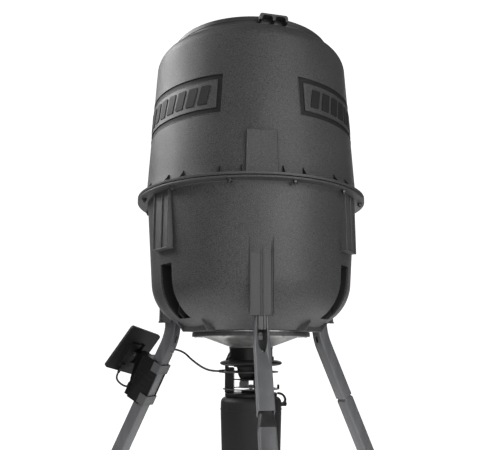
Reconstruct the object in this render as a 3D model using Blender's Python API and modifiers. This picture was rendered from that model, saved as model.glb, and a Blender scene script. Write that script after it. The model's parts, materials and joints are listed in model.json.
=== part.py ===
"""Spin cast feeder: a two-piece barrel on a three-legged stand, with a spinner kit, a timer
canister and a solar charging panel. Metres, +Z up, standing on Z = 0.

Everything hangs from the empty feeder_axis, whose origin is on the barrel's axis at the height
of the barrel's base. Azimuth 0 points along -Y, to the front leg, and grows towards +X."""

import math

import bmesh
import bpy
from mathutils import Matrix, Vector

# ---------------------------------------------------------------- driving dimensions, metres
GAP = 0.0003
HALF_PI = math.pi / 2
BASE_HEIGHT = 1.0  # barrel base above the ground
LEG_AZIMUTHS = {"front": 0.0, "right": 120.0, "left": -120.0}
GRIP_AZIMUTHS = (-56.6, 56.6, 180.0)  # ribbed pads and hand slots between the legs
SEGMENTS = 36
KIT_SEGMENTS = 32

WALL = 0.004
FLANGE_R = 0.273
FLANGE_TOP = 0.3195
GASKET_T = 0.001
LOWER_FLANGE_TOP = FLANGE_TOP - WALL - GASKET_T - 2 * GAP
BOLT_CIRCLE_R = 0.262
BOLT_AZIMUTHS = tuple(range(15, 360, 30))
BOLT_R = 0.003

MOUTH_R = 0.180  # filling mouth, outside
MOUTH_TOP = 0.7015
SHOULDER_Z = 0.6870
SHOULDER_R = 0.044
UPPER_WALL_TOP = (0.2362, 0.645)
UPPER_WALL_FOOT_R = 0.2535

LOWER_WALL_TOP_R = 0.2490
LOWER_CORNER = (0.2298, 0.0652)  # where wall and floor would meet without the rounding
LOWER_CORNER_R = 0.105
FLOOR_EDGE = (0.146, 0.011)
FLOOR_HOLE_R = 0.126

LID_R = 0.197
LID_TOP = 0.708
LID_GRIP_AZIMUTH = 8.7

TUBE = 0.032  # square leg tube
TUBE_WALL = 0.0014
SOCKET_CENTRE_R = 0.2140
LEG_SLOPE = 0.515  # outward run for each metre down
LEG_LINE_R = 0.2170  # radius of the straight leg line at the base height
LEG_BEND_R = 0.13
LEG_TOP = 0.182
JOINT_Z = (-0.146, -0.571)  # lower ends of the upper and middle tubes
NECK_LENGTH = 0.055
TAPER_LENGTH = 0.029
FOOT_PAD_R = 0.034
FOOT_PAD_T = 0.010
COLUMN_R = 0.2375
COLUMN_HALF = 0.0248
COLUMN_BOTTOM = 0.036
COLUMN_TOP = 0.188

KIT_TURN = 14.0  # posts, from the leg azimuths
POST_OUTER_R = 0.0595
POST_INNER_R = 0.0405
POST_HALF = 0.0075
KIT_PLATE_TOP = -0.1265
KIT_PLATE_BOTTOM = -0.1340
CANISTER_R = 0.0695
CANISTER_FOOT_R = 0.0640
CANISTER_BOTTOM = -0.330
CANISTER_WALL = 0.0025
DOOR_AZIMUTH = 180.0
DOOR_HALF = 0.036
DOOR_Z = (-0.305, -0.190)
LATCH_AZIMUTH = 86.0
LATCH_PIVOT = (0.0772, -0.1508)
LATCH_PIN_R = 0.0016

CLAMP_Z = -0.090  # height on the left leg of the clamp's own origin
SWIVEL_X = 0.050
ARM_TURN = 18.0
TILT_AXIS_X = 0.0225
TILT_AXIS_Z = 0.018
PANEL_TILT = 9.0
PANEL_ROLL = 6.3
PANEL_SIZE = (0.100, 0.125)
PANEL_T = 0.008
PANEL_STAND_OFF = 0.0105
LEAD_EXIT = (PANEL_STAND_OFF - 0.0048, 0.0236, 0.0)  # the panel lead leaves the tray downwards here
CABLE_D = 0.005
CABLE_SIDE = -0.0245  # cables leave the clamp on this side of the leg
LEAD_TURN = -40.0  # the panel lead enters the arm on this side of the swivel
LEAD_TURN_R = 0.0168
GLAND_TURN = 30.0
GLAND_Z = -0.0795
GLAND_LENGTH = 0.020

# The left leg's straight line meets the ground at this radius, and the feet set the overall box.
FOOT_R = LEG_LINE_R + LEG_SLOPE * (BASE_HEIGHT - FOOT_PAD_T / 2)
AXIS_Y = FOOT_R / 4  # puts the middle of the three feet's box over the origin
LEG_TILT = math.atan(LEG_SLOPE)


# ---------------------------------------------------------------- scene and small helpers
def clear_scene():
    for old in list(bpy.data.objects):
        bpy.data.objects.remove(old, do_unlink=True)


def new_collection(name):
    made = bpy.data.collections.new(name)
    bpy.context.scene.collection.children.link(made)
    return made


clear_scene()
PARTS = new_collection("spin_cast_feeder")
CUTTERS = new_collection("cutters")
AXIS = bpy.data.objects.new("feeder_axis", None)
AXIS.location = (0.0, AXIS_Y, BASE_HEIGHT)
PARTS.objects.link(AXIS)
AXIS_FRAME_INVERSE = Matrix.Translation((0.0, -AXIS_Y, -BASE_HEIGHT))


def material(name, colour, roughness, metallic=0.0):
    made = bpy.data.materials.new(name)
    made.use_nodes = True
    shader = made.node_tree.nodes["Principled BSDF"]
    shader.inputs["Base Color"].default_value = (*colour, 1.0)
    shader.inputs["Roughness"].default_value = roughness
    shader.inputs["Metallic"].default_value = metallic
    made.diffuse_color = (*colour, 1.0)
    return made


def turn(azimuth):
    """Rotation that takes +X to this azimuth."""
    return Matrix.Rotation(math.radians(azimuth - 90.0), 4, "Z")


def place(mesh, name, matrix=None, part=None, parent=AXIS):
    """An object of this mesh: a node in its own material, or a hidden cutter where part is None."""
    obj = bpy.data.objects.new(name, mesh)
    (PARTS if part else CUTTERS).objects.link(obj)
    obj.parent = parent
    obj.matrix_local = matrix or Matrix()
    if part:
        mesh.materials.append(part)
        mesh.shade_smooth()
        mesh.set_sharp_from_angle(angle=math.radians(35.0))
    else:
        obj.hide_render = True
        obj.display_type = "WIRE"
    return obj


def line_mesh(name, points, closed):
    mesh = bpy.data.meshes.new(name)
    count = len(points)
    edges = [(i, (i + 1) % count) for i in range(count if closed else count - 1)]
    mesh.from_pydata([(r, 0.0, z) for r, z in points], edges, [])
    return mesh


def lathe(name, points, part=None, steps=SEGMENTS, closed=True, matrix=None, parent=AXIS):
    """A turned body. The profile runs down its outer side. It is closed, or ends on the axis."""
    obj = place(line_mesh(name, points, closed), name, matrix, part, parent)
    screw = obj.modifiers.new("Turn", "SCREW")
    screw.steps = screw.render_steps = steps
    screw.use_merge_vertices = True
    screw.merge_threshold = 0.00001
    screw.use_smooth_shade = True
    return obj


def box(name, low, high, part=None, matrix=None, parent=AXIS):
    """A box between two corners, in the frame that matrix gives."""
    mesh = bpy.data.meshes.new(name)
    bm = bmesh.new()
    bmesh.ops.create_cube(bm, size=1.0)
    size = Vector(high) - Vector(low)
    middle = (Vector(high) + Vector(low)) / 2
    bmesh.ops.transform(bm, matrix=Matrix.Translation(middle) @ Matrix.Diagonal((*size, 1)), verts=bm.verts)
    bm.to_mesh(mesh)
    bm.free()
    return place(mesh, name, matrix, part, parent)


def rod(name, radius, start, end, part=None, sides=24, matrix=None, parent=AXIS, tip=None):
    """A round bar along Z between two heights."""
    mesh = bpy.data.meshes.new(name)
    bm = bmesh.new()
    move = Matrix.Translation((0.0, 0.0, (start + end) / 2))
    bmesh.ops.create_cone(
        bm, cap_ends=True, segments=sides, radius1=radius, radius2=radius if tip is None else tip,
        depth=abs(end - start), matrix=move)
    bm.to_mesh(mesh)
    bm.free()
    return place(mesh, name, matrix, part, parent)


def prism(name, outline, half, part=None, matrix=None, parent=AXIS):
    """A flat outline in XY, thickened by half to each side along Z."""
    curve = bpy.data.curves.new(name, "CURVE")
    curve.dimensions = "2D"
    curve.fill_mode = "BOTH"
    curve.extrude = half
    spline = curve.splines.new("POLY")
    spline.points.add(len(outline) - 1)
    for point, (x, y) in zip(spline.points, outline):
        point.co = (x, y, 0.0, 1.0)
    spline.use_cyclic_u = True
    holder = bpy.data.objects.new(name + "_outline", curve)
    CUTTERS.objects.link(holder)
    mesh = meshed(holder)
    bpy.data.objects.remove(holder)
    return place(mesh, name, matrix, part, parent)


def meshed(obj):
    """A welded mesh of a curve object or of an object with modifiers, in its own frame."""
    bpy.context.view_layer.update()
    graph = bpy.context.evaluated_depsgraph_get()
    mesh = bpy.data.meshes.new_from_object(obj.evaluated_get(graph), depsgraph=graph)
    bm = bmesh.new()
    bm.from_mesh(mesh)
    bmesh.ops.remove_doubles(bm, verts=bm.verts, dist=0.000001)
    bmesh.ops.recalc_face_normals(bm, faces=bm.faces)
    bm.to_mesh(mesh)
    bm.free()
    return mesh


def gathered(name, pieces):
    """Several hidden pieces that don't touch each other, as one hidden object."""
    bm = bmesh.new()
    for piece in pieces:
        mesh = meshed(piece)
        mesh.transform(piece.matrix_local)
        bm.from_mesh(mesh)
        bpy.data.objects.remove(piece, do_unlink=True)
    mesh = bpy.data.meshes.new(name)
    bm.to_mesh(mesh)
    bm.free()
    return place(mesh, name)


def boolean(obj, other, operation):
    step = obj.modifiers.new(operation.title(), "BOOLEAN")
    step.operation = operation
    step.object = other
    step.solver = "EXACT"
    return obj


def cut(obj, *others):
    for other in others:
        boolean(obj, other, "DIFFERENCE")
    return obj


def join(obj, *others):
    for other in others:
        boolean(obj, other, "UNION")
    return obj


def radial_plate(azimuth):
    """Frame for an outline drawn as (radius, height), thickened along the tangent."""
    return turn(azimuth) @ Matrix.Rotation(math.radians(90.0), 4, "X")


def facing_plate(azimuth, radius):
    """Frame for an outline drawn as (tangent, height), thickened along the radius."""
    out = Matrix.Rotation(math.radians(azimuth + 180.0), 4, "Z")
    return out @ Matrix.Translation((0.0, radius, 0.0)) @ Matrix.Rotation(math.radians(90.0), 4, "X")


def arc(centre, radius, start, end, count):
    """Points on an arc, with angles in degrees."""
    angles = [math.radians(start + (end - start) * i / (count - 1)) for i in range(count)]
    return [(centre[0] + radius * math.cos(a), centre[1] + radius * math.sin(a)) for a in angles]


def rounded(before, corner, after, radius, count):
    """Points of an arc that rounds a corner between two straight runs."""
    corner = Vector(corner)
    first = (Vector(before) - corner).normalized()
    last = (Vector(after) - corner).normalized()
    half = first.angle(last) / 2
    middle = corner + (first + last).normalized() * radius / math.sin(half)
    start = corner + first * radius / math.tan(half) - middle
    end = corner + last * radius / math.tan(half) - middle
    swing = start.angle_signed(end)
    points = []
    for i in range(count):
        spun = Matrix.Rotation(-swing * i / (count - 1), 2) @ start
        points.append(tuple(middle + spun))
    return points


# ---------------------------------------------------------------- barrel
def upper_profile():
    shoulder = rounded((MOUTH_R + 0.01, SHOULDER_Z), (0.2355, SHOULDER_Z - 0.0003), UPPER_WALL_TOP,
                       SHOULDER_R, 6)
    return [
        (MOUTH_R, MOUTH_TOP), (MOUTH_R, SHOULDER_Z + 0.0015), (MOUTH_R + 0.002, SHOULDER_Z), *shoulder,
        UPPER_WALL_TOP, (UPPER_WALL_FOOT_R, FLANGE_TOP), (FLANGE_R, FLANGE_TOP)]


def lower_profile():
    wall_top = (LOWER_WALL_TOP_R, LOWER_FLANGE_TOP - WALL)
    corner = rounded(wall_top, LOWER_CORNER, FLOOR_EDGE, LOWER_CORNER_R, 7)
    return [
        (FLANGE_R, wall_top[1]), wall_top, *corner, FLOOR_EDGE,
        (FLOOR_HOLE_R - 0.004, FLOOR_EDGE[1])]


def shell(name, points, part):
    """An open profile turned into a wall of WALL thickness, measured inwards."""
    obj = lathe(name, points, part, closed=False)
    thick = obj.modifiers.new("Wall", "SOLIDIFY")
    thick.thickness = WALL
    thick.offset = -1.0
    thick.use_even_offset = True
    return obj


def bolt_holes():
    holes = []
    for azimuth in BOLT_AZIMUTHS:
        at = turn(azimuth) @ Matrix.Translation((BOLT_CIRCLE_R, 0.0, 0.0))
        holes.append(rod("bolt_hole", BOLT_R + 0.0004, 0.29, 0.33, sides=8, matrix=at))
    return gathered("bolt_holes", holes)


def flange_gussets():
    plates = []
    outline = [(0.2495, FLANGE_TOP - 0.002), (0.2685, FLANGE_TOP - 0.002), (0.2685, FLANGE_TOP + 0.001),
               (0.2530, FLANGE_TOP + 0.0165), (0.2495, FLANGE_TOP + 0.0165)]
    for azimuth in BOLT_AZIMUTHS:
        for side in (-5.2, 5.2):
            plates.append(prism("gusset", outline, 0.001, matrix=radial_plate(azimuth + side)))
    return gathered("gussets", plates)


def leg_bosses():
    outline = [(-0.0345, FLANGE_TOP - 0.002), (0.0345, FLANGE_TOP - 0.002), (0.0325, 0.4165),
               (-0.0325, 0.4165)]
    plates = [prism("boss", outline, 0.0075, matrix=facing_plate(azimuth, 0.2495))
              for azimuth in LEG_AZIMUTHS.values()]
    return gathered("leg_bosses", plates)


def upper_hopper():
    obj = shell("upper_hopper", upper_profile(), BODY)
    join(obj, flange_gussets(), leg_bosses())
    cut(obj, bolt_holes())


def pocket_outline(grow):
    """Section of a hand slot, or of its liner where grow is the liner's thickness."""
    return [(0.275, 0.150 + grow), (0.205 - grow, 0.150 + grow), (0.200 - grow, 0.090),
            (0.152 - grow, 0.036 - grow), (0.275, 0.036 - grow)]


def pocket_liners():
    """Walls of the three hand slots, kept inside the barrel's outer surface."""
    plates = [prism("liner", pocket_outline(0.003), 0.0255, matrix=radial_plate(azimuth))
              for azimuth in GRIP_AZIMUTHS]
    liners = gathered("pocket_liners", plates)
    inside = [(0.0, 0.300), (0.2450, 0.300), *lower_profile()[2:-1], (0.0, FLOOR_EDGE[1])]
    return boolean(liners, lathe("barrel_inside", inside, closed=False), "INTERSECT")


def pocket_cuts():
    plates = [prism("pocket", pocket_outline(0.0), 0.0225, matrix=radial_plate(azimuth))
              for azimuth in GRIP_AZIMUTHS]
    return gathered("pockets", plates)


def pocket_ribs():
    outline = [(0.195, 0.0900), (0.150, 0.0345), (0.183, 0.0345), (0.1975, 0.0470)]
    plates = [prism("rib", outline, 0.0015, matrix=radial_plate(azimuth)) for azimuth in GRIP_AZIMUTHS]
    return gathered("pocket_ribs", plates)


def ribbed_pads():
    """Pads under the flange, each a slab with three upright ribs and a foot."""
    slabs = []
    ribs = []
    top = LOWER_FLANGE_TOP - 0.002
    for azimuth in GRIP_AZIMUTHS:
        slabs.append(box("slab", (0.232, -0.031, 0.181), (0.2465, 0.031, top), matrix=turn(azimuth)))
        for side in (-0.0275, 0.004, 0.0275):
            ribs.append(box("rib", (0.240, side - 0.0025, 0.180), (0.2505, side + 0.0025, top),
                            matrix=turn(azimuth)))
    return gathered("pad_slabs", slabs), gathered("pad_ribs", ribs)


def leg_columns():
    columns = [box("column", (0.1945, -COLUMN_HALF, COLUMN_BOTTOM), (COLUMN_R, COLUMN_HALF, COLUMN_TOP),
                   matrix=turn(a))
               for a in LEG_AZIMUTHS.values()]
    return gathered("leg_columns", columns)


def column_ribs():
    """Three upright fins on each column, which fade into the sloping wall above it."""
    ribs = []
    for azimuth in LEG_AZIMUTHS.values():
        for side, outer, top in ((-0.0233, 0.2405, 0.198), (0.0, 0.2392, 0.185), (0.0233, 0.2405, 0.198)):
            low = (0.2362, side - 0.0011, COLUMN_BOTTOM + 0.001)
            ribs.append(box("rib", low, (outer, side + 0.0011, top), matrix=turn(azimuth)))
    return gathered("column_ribs", ribs)


def leg_sockets():
    half = TUBE / 2 + GAP
    low = (SOCKET_CENTRE_R - half, -half, 0.0)
    high = (SOCKET_CENTRE_R + half, half, LEG_TOP + 0.001)
    return gathered("leg_sockets", [box("socket", low, high, matrix=turn(a)) for a in LEG_AZIMUTHS.values()])


def leg_tongues():
    """Moulded tongues that hang into the notch of each leg, each with two ribs."""
    tongues = []
    ribs = []
    for azimuth in LEG_AZIMUTHS.values():
        tongues.append(box("tongue", (0.2275, -0.0085, 0.0080), (0.2325, 0.0085, 0.0460),
                           matrix=turn(azimuth)))
        for side in (-0.0042, 0.0042):
            ribs.append(box("rib", (0.2315, side - 0.0011, 0.0082), (0.2337, side + 0.0011, 0.0460),
                            matrix=turn(azimuth)))
    return gathered("tongues", tongues), gathered("tongue_ribs", ribs)


def floor_pads():
    """Square pads under the floor, one below each hand slot."""
    pads = [box("pad", (0.1385, -0.050, 0.009), (0.158, 0.050, 0.024), matrix=turn(a)) for a in GRIP_AZIMUTHS]
    return gathered("floor_pads", pads)


def lower_hopper():
    obj = shell("lower_hopper", lower_profile(), BODY)
    join(obj, pocket_liners(), leg_columns(), *ribbed_pads(), floor_pads(), column_ribs())
    cut(obj, pocket_cuts(), leg_sockets(), rod("floor_hole", FLOOR_HOLE_R, -0.01, 0.06, sides=SEGMENTS))
    join(obj, pocket_ribs(), *leg_tongues())
    cut(obj, bolt_holes())


def flange_gasket():
    top = LOWER_FLANGE_TOP + GAP + GASKET_T
    low = LOWER_FLANGE_TOP + GAP
    lathe("flange_gasket", [(0.2578, top), (0.2578, low), (0.2505, low), (0.2505, top)], RUBBER)


def flange_bolts():
    head = FLANGE_TOP + GAP
    under = LOWER_FLANGE_TOP - WALL - GAP
    for number, azimuth in enumerate(BOLT_AZIMUTHS, 1):
        name = f"flange_bolt_{number:02d}"
        at = turn(azimuth) @ Matrix.Translation((BOLT_CIRCLE_R, 0.0, 0.0))
        bolt = rod(name, BOLT_R, under - 0.0085, head + 0.002, STEEL, sides=6, matrix=at)
        cap = rod(name + "_head", 0.0062, head, head + 0.0035, sides=6, matrix=at)
        nut = rod(name + "_nut", 0.0058, under - 0.0055, under, sides=6, matrix=at)
        join(bolt, cap, nut)


def lid():
    floor = MOUTH_TOP + 0.0042
    profile = [
        (0.0, 0.7155), (0.060, 0.7150), (0.120, 0.7138), (0.165, 0.7120), (0.172, 0.7108), (0.190, 0.7106),
        (0.1955, 0.7098), (LID_R, 0.7075), (LID_R, 0.6910), (LID_R - 0.003, 0.6910), (LID_R - 0.003, floor),
        (0.0, floor)]
    lathe("lid", profile, BODY, closed=False)
    low = MOUTH_TOP + GAP
    lathe("lid_gasket", [(0.184, low + 0.0035), (0.184, low), (0.1735, low), (0.1735, low + 0.0035)], RUBBER)


def lid_grip():
    """Flat loop on the lid's rim, with a web at each end and one in the middle."""
    outline = [(-0.033, 0.6915), (-0.033, 0.7010), *arc((-0.027, 0.7010), 0.006, 180, 90, 4),
               *arc((0.027, 0.7010), 0.006, 90, 0, 4), (0.033, 0.6915)]
    middle = LID_R + GAP + 0.009
    obj = prism("lid_grip", outline, 0.009, BODY, facing_plate(LID_GRIP_AZIMUTH, middle))
    windows = []
    for side in (-0.0150, 0.0150):
        hole = [(side - 0.0115, 0.6800), (side + 0.0115, 0.6800),
                *arc((side + 0.0055, 0.6965), 0.006, 0, 90, 3),
                *arc((side - 0.0055, 0.6965), 0.006, 90, 180, 3)]
        windows.append(prism("window", hole, 0.020, matrix=facing_plate(LID_GRIP_AZIMUTH, middle)))
    cut(obj, gathered("grip_windows", windows), rod("lid_rim", LID_R + GAP, 0.68, 0.73, sides=SEGMENTS))


def base_and_funnel():
    lathe("base_plate", [(0.1375, 0.0078), (0.1375, -0.001), (0.1185, -0.001), (0.1185, 0.0078)], BODY)
    lathe("funnel", [
        (0.1360, 0.0099), (0.1360, 0.0081), (0.1165, 0.0081), (0.1165, 0.0), (0.0505, -0.0235),
        (0.0505, -0.0242), (0.0515, -0.0250), (0.0515, -0.0265), (0.0503, -0.0275), (0.0503, -0.0540),
        (0.0488, -0.0540), (0.0488, -0.0235), (0.1150, 0.0005), (0.1150, 0.0099)], GALVANISED)


# ---------------------------------------------------------------- legs
def leg_frame(azimuth, height):
    """Frame on a straight leg: origin on its centre line at this height, +X out, +Z up along the tube."""
    radius = LEG_LINE_R - LEG_SLOPE * height
    return (turn(azimuth) @ Matrix.Translation((radius, 0.0, height))
            @ Matrix.Rotation(-LEG_TILT, 4, "Y"))


def tube_section(half, chamfer):
    """Corners of a square tube's outline with small chamfers."""
    a, b = half, half - chamfer
    return [(a, -b), (a, b), (b, a), (-b, a), (-a, b), (-a, -b), (-b, -a), (b, -a)]


def tube(name, stations, part, matrix=None):
    """A hollow square tube through stations of (x, z, lean, half width), with lean in radians from +Z."""
    bm = bmesh.new()
    rings = []
    for x, z, lean, half in stations:
        ring = []
        for across, along in tube_section(half, 0.002):
            ring.append(bm.verts.new((x + across * math.cos(lean), along, z + across * math.sin(lean))))
        rings.append(ring)
    for upper, lower in zip(rings, rings[1:]):
        for i in range(8):
            j = (i + 1) % 8
            bm.faces.new((upper[i], upper[j], lower[j], lower[i]))
    bmesh.ops.recalc_face_normals(bm, faces=bm.faces)
    mesh = bpy.data.meshes.new(name)
    bm.to_mesh(mesh)
    bm.free()
    obj = place(mesh, name, matrix, part)
    thick = obj.modifiers.new("Wall", "SOLIDIFY")
    thick.thickness = TUBE_WALL
    thick.offset = -1.0
    thick.use_even_offset = True
    return obj


def upper_leg_stations():
    half = TUBE / 2
    meet = (LEG_LINE_R - SOCKET_CENTRE_R) / LEG_SLOPE
    bend_top = meet + LEG_BEND_R * math.tan(LEG_TILT / 2)
    stations = [(SOCKET_CENTRE_R, LEG_TOP, 0.0, half)]
    for i in range(5):
        lean = LEG_TILT * i / 4
        x = SOCKET_CENTRE_R + LEG_BEND_R * (1 - math.cos(lean))
        stations.append((x, bend_top - LEG_BEND_R * math.sin(lean), lean, half))
    stations.append((LEG_LINE_R - LEG_SLOPE * JOINT_Z[0], JOINT_Z[0], LEG_TILT, half))
    return stations


def upper_leg(side, azimuth):
    leg = tube("upper_leg_" + side, upper_leg_stations(), LEG_PAINT, turn(azimuth))
    notch = [(-0.0105, 0.200), (-0.0105, -0.024), *arc((0.0, -0.0245), 0.0105, 180, 360, 7), (0.0105, 0.200)]
    window = [*arc((0.0, 0.000), 0.004, 0, 180, 5), *arc((0.0, -0.010), 0.004, 180, 360, 5)]
    hole = rod("screw_hole", 0.0028, -0.03, 0.03, sides=12, matrix=screw_frame(azimuth))
    cut(leg, prism("notch", notch, 0.0185, matrix=facing_plate(azimuth, SOCKET_CENTRE_R + 0.0285)),
        prism("window", window, 0.0100, matrix=facing_plate(azimuth, SOCKET_CENTRE_R - 0.0155)), hole)


def screw_frame(azimuth):
    """Frame of the leg screw: origin on the inside of the tube's inner face, +Z out through the notch."""
    inner = Matrix.Translation((-TUBE / 2 + TUBE_WALL, 0.0, 0.0)) @ Matrix.Rotation(HALF_PI, 4, "Y")
    return leg_frame(azimuth, -0.0290) @ inner


def leg_screw(side, azimuth):
    frame = screw_frame(azimuth)
    screw = rod("leg_screw_" + side, 0.0024, -0.0080, 0.0010, STEEL, sides=12, matrix=frame)
    join(screw, rod("screw_head_" + side, 0.0052, GAP, 0.0032, sides=16, matrix=frame, tip=0.0040))


def lower_tubes(side, azimuth):
    """Middle and lower tubes, each with a swaged neck that slips up into the tube above."""
    half = TUBE / 2
    neck = half - TUBE_WALL - GAP
    ends = (JOINT_Z[1], -(BASE_HEIGHT - FOOT_PAD_T - 0.014))
    for name, top, end in zip(("middle_leg_", "lower_leg_"), JOINT_Z, ends):
        length = (top - end) / math.cos(LEG_TILT)
        stations = [(0.0, NECK_LENGTH, 0.0, neck), (0.0, -0.004, 0.0, neck), (0.0, -TAPER_LENGTH, 0.0, half),
                    (0.0, -length, 0.0, half)]
        tube(name + side, stations, LEG_PAINT, leg_frame(azimuth, top))


def foot(side, azimuth):
    """A round rubber pad with a leaning square socket for the tube."""
    ground = -BASE_HEIGHT
    pad_at = turn(azimuth) @ Matrix.Translation((FOOT_R, 0.0, 0.0))
    pad = rod("foot_" + side, FOOT_PAD_R, ground, ground + FOOT_PAD_T, RUBBER, sides=24, matrix=pad_at)
    frame = leg_frame(azimuth, ground + FOOT_PAD_T)
    outer = TUBE / 2 + 0.0035
    sleeve = box("foot_sleeve", (-outer, -outer, -0.004), (outer, outer, 0.045), matrix=frame)
    half = TUBE / 2 + GAP
    hollow = box("foot_socket", (-half, -half, 0.0148), (half, half, 0.060), matrix=frame)
    below = box("foot_trim", (0.0, -0.2, ground - 0.1), (1.5, 0.2, ground + 0.001), matrix=turn(azimuth))
    cut(sleeve, below)
    join(pad, sleeve)
    cut(pad, hollow)


# ---------------------------------------------------------------- spinner kit
def kit_azimuths():
    return [azimuth + KIT_TURN for azimuth in LEG_AZIMUTHS.values()]


def kit_collar():
    """The adapter that grips the funnel's neck, a thick-lipped disc with three notches for the posts."""
    obj = lathe("kit_collar", [
        (0.0535, -0.0455), (0.0535, -0.0536), (0.0620, -0.0547), (0.0685, -0.0564), (0.0715, -0.0582),
        (0.0725, -0.0602), (0.0715, -0.0622), (0.0685, -0.0640), (0.0620, -0.0656), (0.0535, -0.0668),
        (0.0470, -0.0668), (0.0470, -0.0545), (0.0508, -0.0545), (0.0508, -0.0455)], KIT_BLACK,
        steps=KIT_SEGMENTS)
    notches = [box("notch", (0.0542, -POST_HALF - 0.0005, -0.08), (0.09, POST_HALF + 0.0005, -0.04),
                   matrix=turn(a))
               for a in kit_azimuths()]
    cut(obj, gathered("post_notches", notches))


def kit_chute():
    lathe("kit_chute", [
        (0.0400, -0.0673), (0.0400, -0.0693), (0.0325, -0.0700), (0.0312, -0.0800), (0.0262, -0.0930),
        (0.0245, -0.0976), (0.0227, -0.0976), (0.0244, -0.0925), (0.0292, -0.0798), (0.0300, -0.0673)],
        KIT_BLACK, steps=KIT_SEGMENTS)


def post_outline():
    return [
        (0.0512, -0.0360), (POST_OUTER_R, -0.0540), (POST_OUTER_R, -0.1285), (POST_INNER_R, -0.1285),
        (POST_INNER_R, -0.0700), (0.0545, -0.0700), (0.0545, -0.0452), (0.0512, -0.0448)]


def kit_frame():
    """Plate over the canister with the motor's cover, three posts, two guard rings and the chute's ring."""
    obj = lathe("kit_frame", [
        (0.0036, -0.1195), (0.0090, -0.1192), (0.0215, -0.1215), (0.0232, KIT_PLATE_TOP),
        (0.0585, KIT_PLATE_TOP),
        (0.0600, KIT_PLATE_TOP - 0.0015), (0.0600, KIT_PLATE_BOTTOM), (0.0036, KIT_PLATE_BOTTOM)], KIT_BLACK,
        steps=KIT_SEGMENTS)
    posts = gathered("kit_posts", [prism("post", post_outline(), POST_HALF,
                                         matrix=radial_plate(a)) for a in kit_azimuths()])
    rings = []
    for outer, inner, top, low in ((0.0635, 0.0540, -0.0785, -0.0818), (0.0655, 0.0560, -0.1168, -0.1190)):
        rings.append(lathe("ring", [(outer, top), (outer, low), (inner, low), (inner, top)],
                           steps=KIT_SEGMENTS))
    spokes = [box("spoke", (0.0285, -0.0015, -0.0990), (0.0430, 0.0015, -0.0962),
                  matrix=turn(a)) for a in kit_azimuths()]
    steady = lathe("steady", [(0.0300, -0.0962), (0.0300, -0.0990), (0.0272, -0.0990), (0.0272, -0.0962)],
                   steps=KIT_SEGMENTS)
    gap = box("gland_gap", (POST_OUTER_R, -0.0072, -0.0860), (0.0700, 0.0072, -0.0740),
              matrix=turn(LEG_AZIMUTHS["left"] + KIT_TURN))
    tab = box("ring_tab", (0.0600, -0.0050, -0.1185), (0.0655, 0.0050, -0.1085), matrix=turn(82.0))
    join(obj, posts, gathered("guard_rings", rings), steady, gathered("spokes", spokes), tab)
    cut(obj, gap)


def spinner():
    """Sheet-metal disc with four upright vanes, on the motor's shaft."""
    spin = bpy.data.objects.new("spinner_axis", None)
    PARTS.objects.link(spin)
    spin.parent = AXIS
    spin.location = (0.0, 0.0, -0.1152)
    plate = lathe("spinner_plate", [
        (0.0385, 0.0012), (0.0385, 0.0), (0.0034, 0.0), (0.0034, 0.0012)], GALVANISED, steps=KIT_SEGMENTS,
        parent=spin)
    vanes = []
    for k in range(4):
        outline = [(0.0075, 0.0004), (0.0375, 0.0004), (0.0375, 0.0125), (0.0330, 0.0160), (0.0075, 0.0160)]
        vanes.append(prism("vane", outline, 0.0006, matrix=radial_plate(39.6 + 90.0 * k), parent=spin))
    join(plate, gathered_on(spin, "spinner_vanes", vanes))
    shaft = rod("motor_shaft", 0.0030, -0.0187, 0.0050, STEEL, sides=16, parent=spin)
    hub = rod("shaft_hub", 0.0060, 0.0015, 0.0060, sides=6, parent=spin)
    join(shaft, hub, rod("shaft_collar", 0.0055, -0.0030, -GAP, sides=16, parent=spin))


def gathered_on(parent, name, pieces):
    obj = gathered(name, pieces)
    obj.parent = parent
    return obj


def motor():
    lathe("motor", [
        (0.0034, -0.1344), (0.0180, -0.1344), (0.0185, -0.1352), (0.0185, -0.1850), (0.0170, -0.1865),
        (0.0080, -0.1865), (0.0080, -0.1900), (0.0034, -0.1900)], STEEL, steps=24)


def canister_wall():
    """Outer line of the canister, down from its mouth."""
    shoulder = [(0.0520, -0.1345), *arc((0.0560, -0.1483), 0.0135, 80, 10, 4)]
    return [*shoulder, (CANISTER_R, -0.1700), (CANISTER_FOOT_R, -0.3200), (0.0600, CANISTER_BOTTOM),
            (0.0, CANISTER_BOTTOM)]


def canister_shell(name, part=None):
    """The canister's wall alone, as a turned shell."""
    obj = lathe(name, canister_wall(), part, closed=False, steps=36)
    thick = obj.modifiers.new("Wall", "SOLIDIFY")
    thick.thickness = CANISTER_WALL
    thick.offset = -1.0
    thick.use_even_offset = True
    return obj


def door_hinge_frame():
    """Frame on the door's pin: +X along the door, +Y out from the canister, +Z up."""
    out = Matrix.Rotation(math.radians(DOOR_AZIMUTH + 180.0), 4, "Z")
    return out @ Matrix.Translation((-DOOR_HALF - 0.0010, 0.0615, 0.0))


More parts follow.
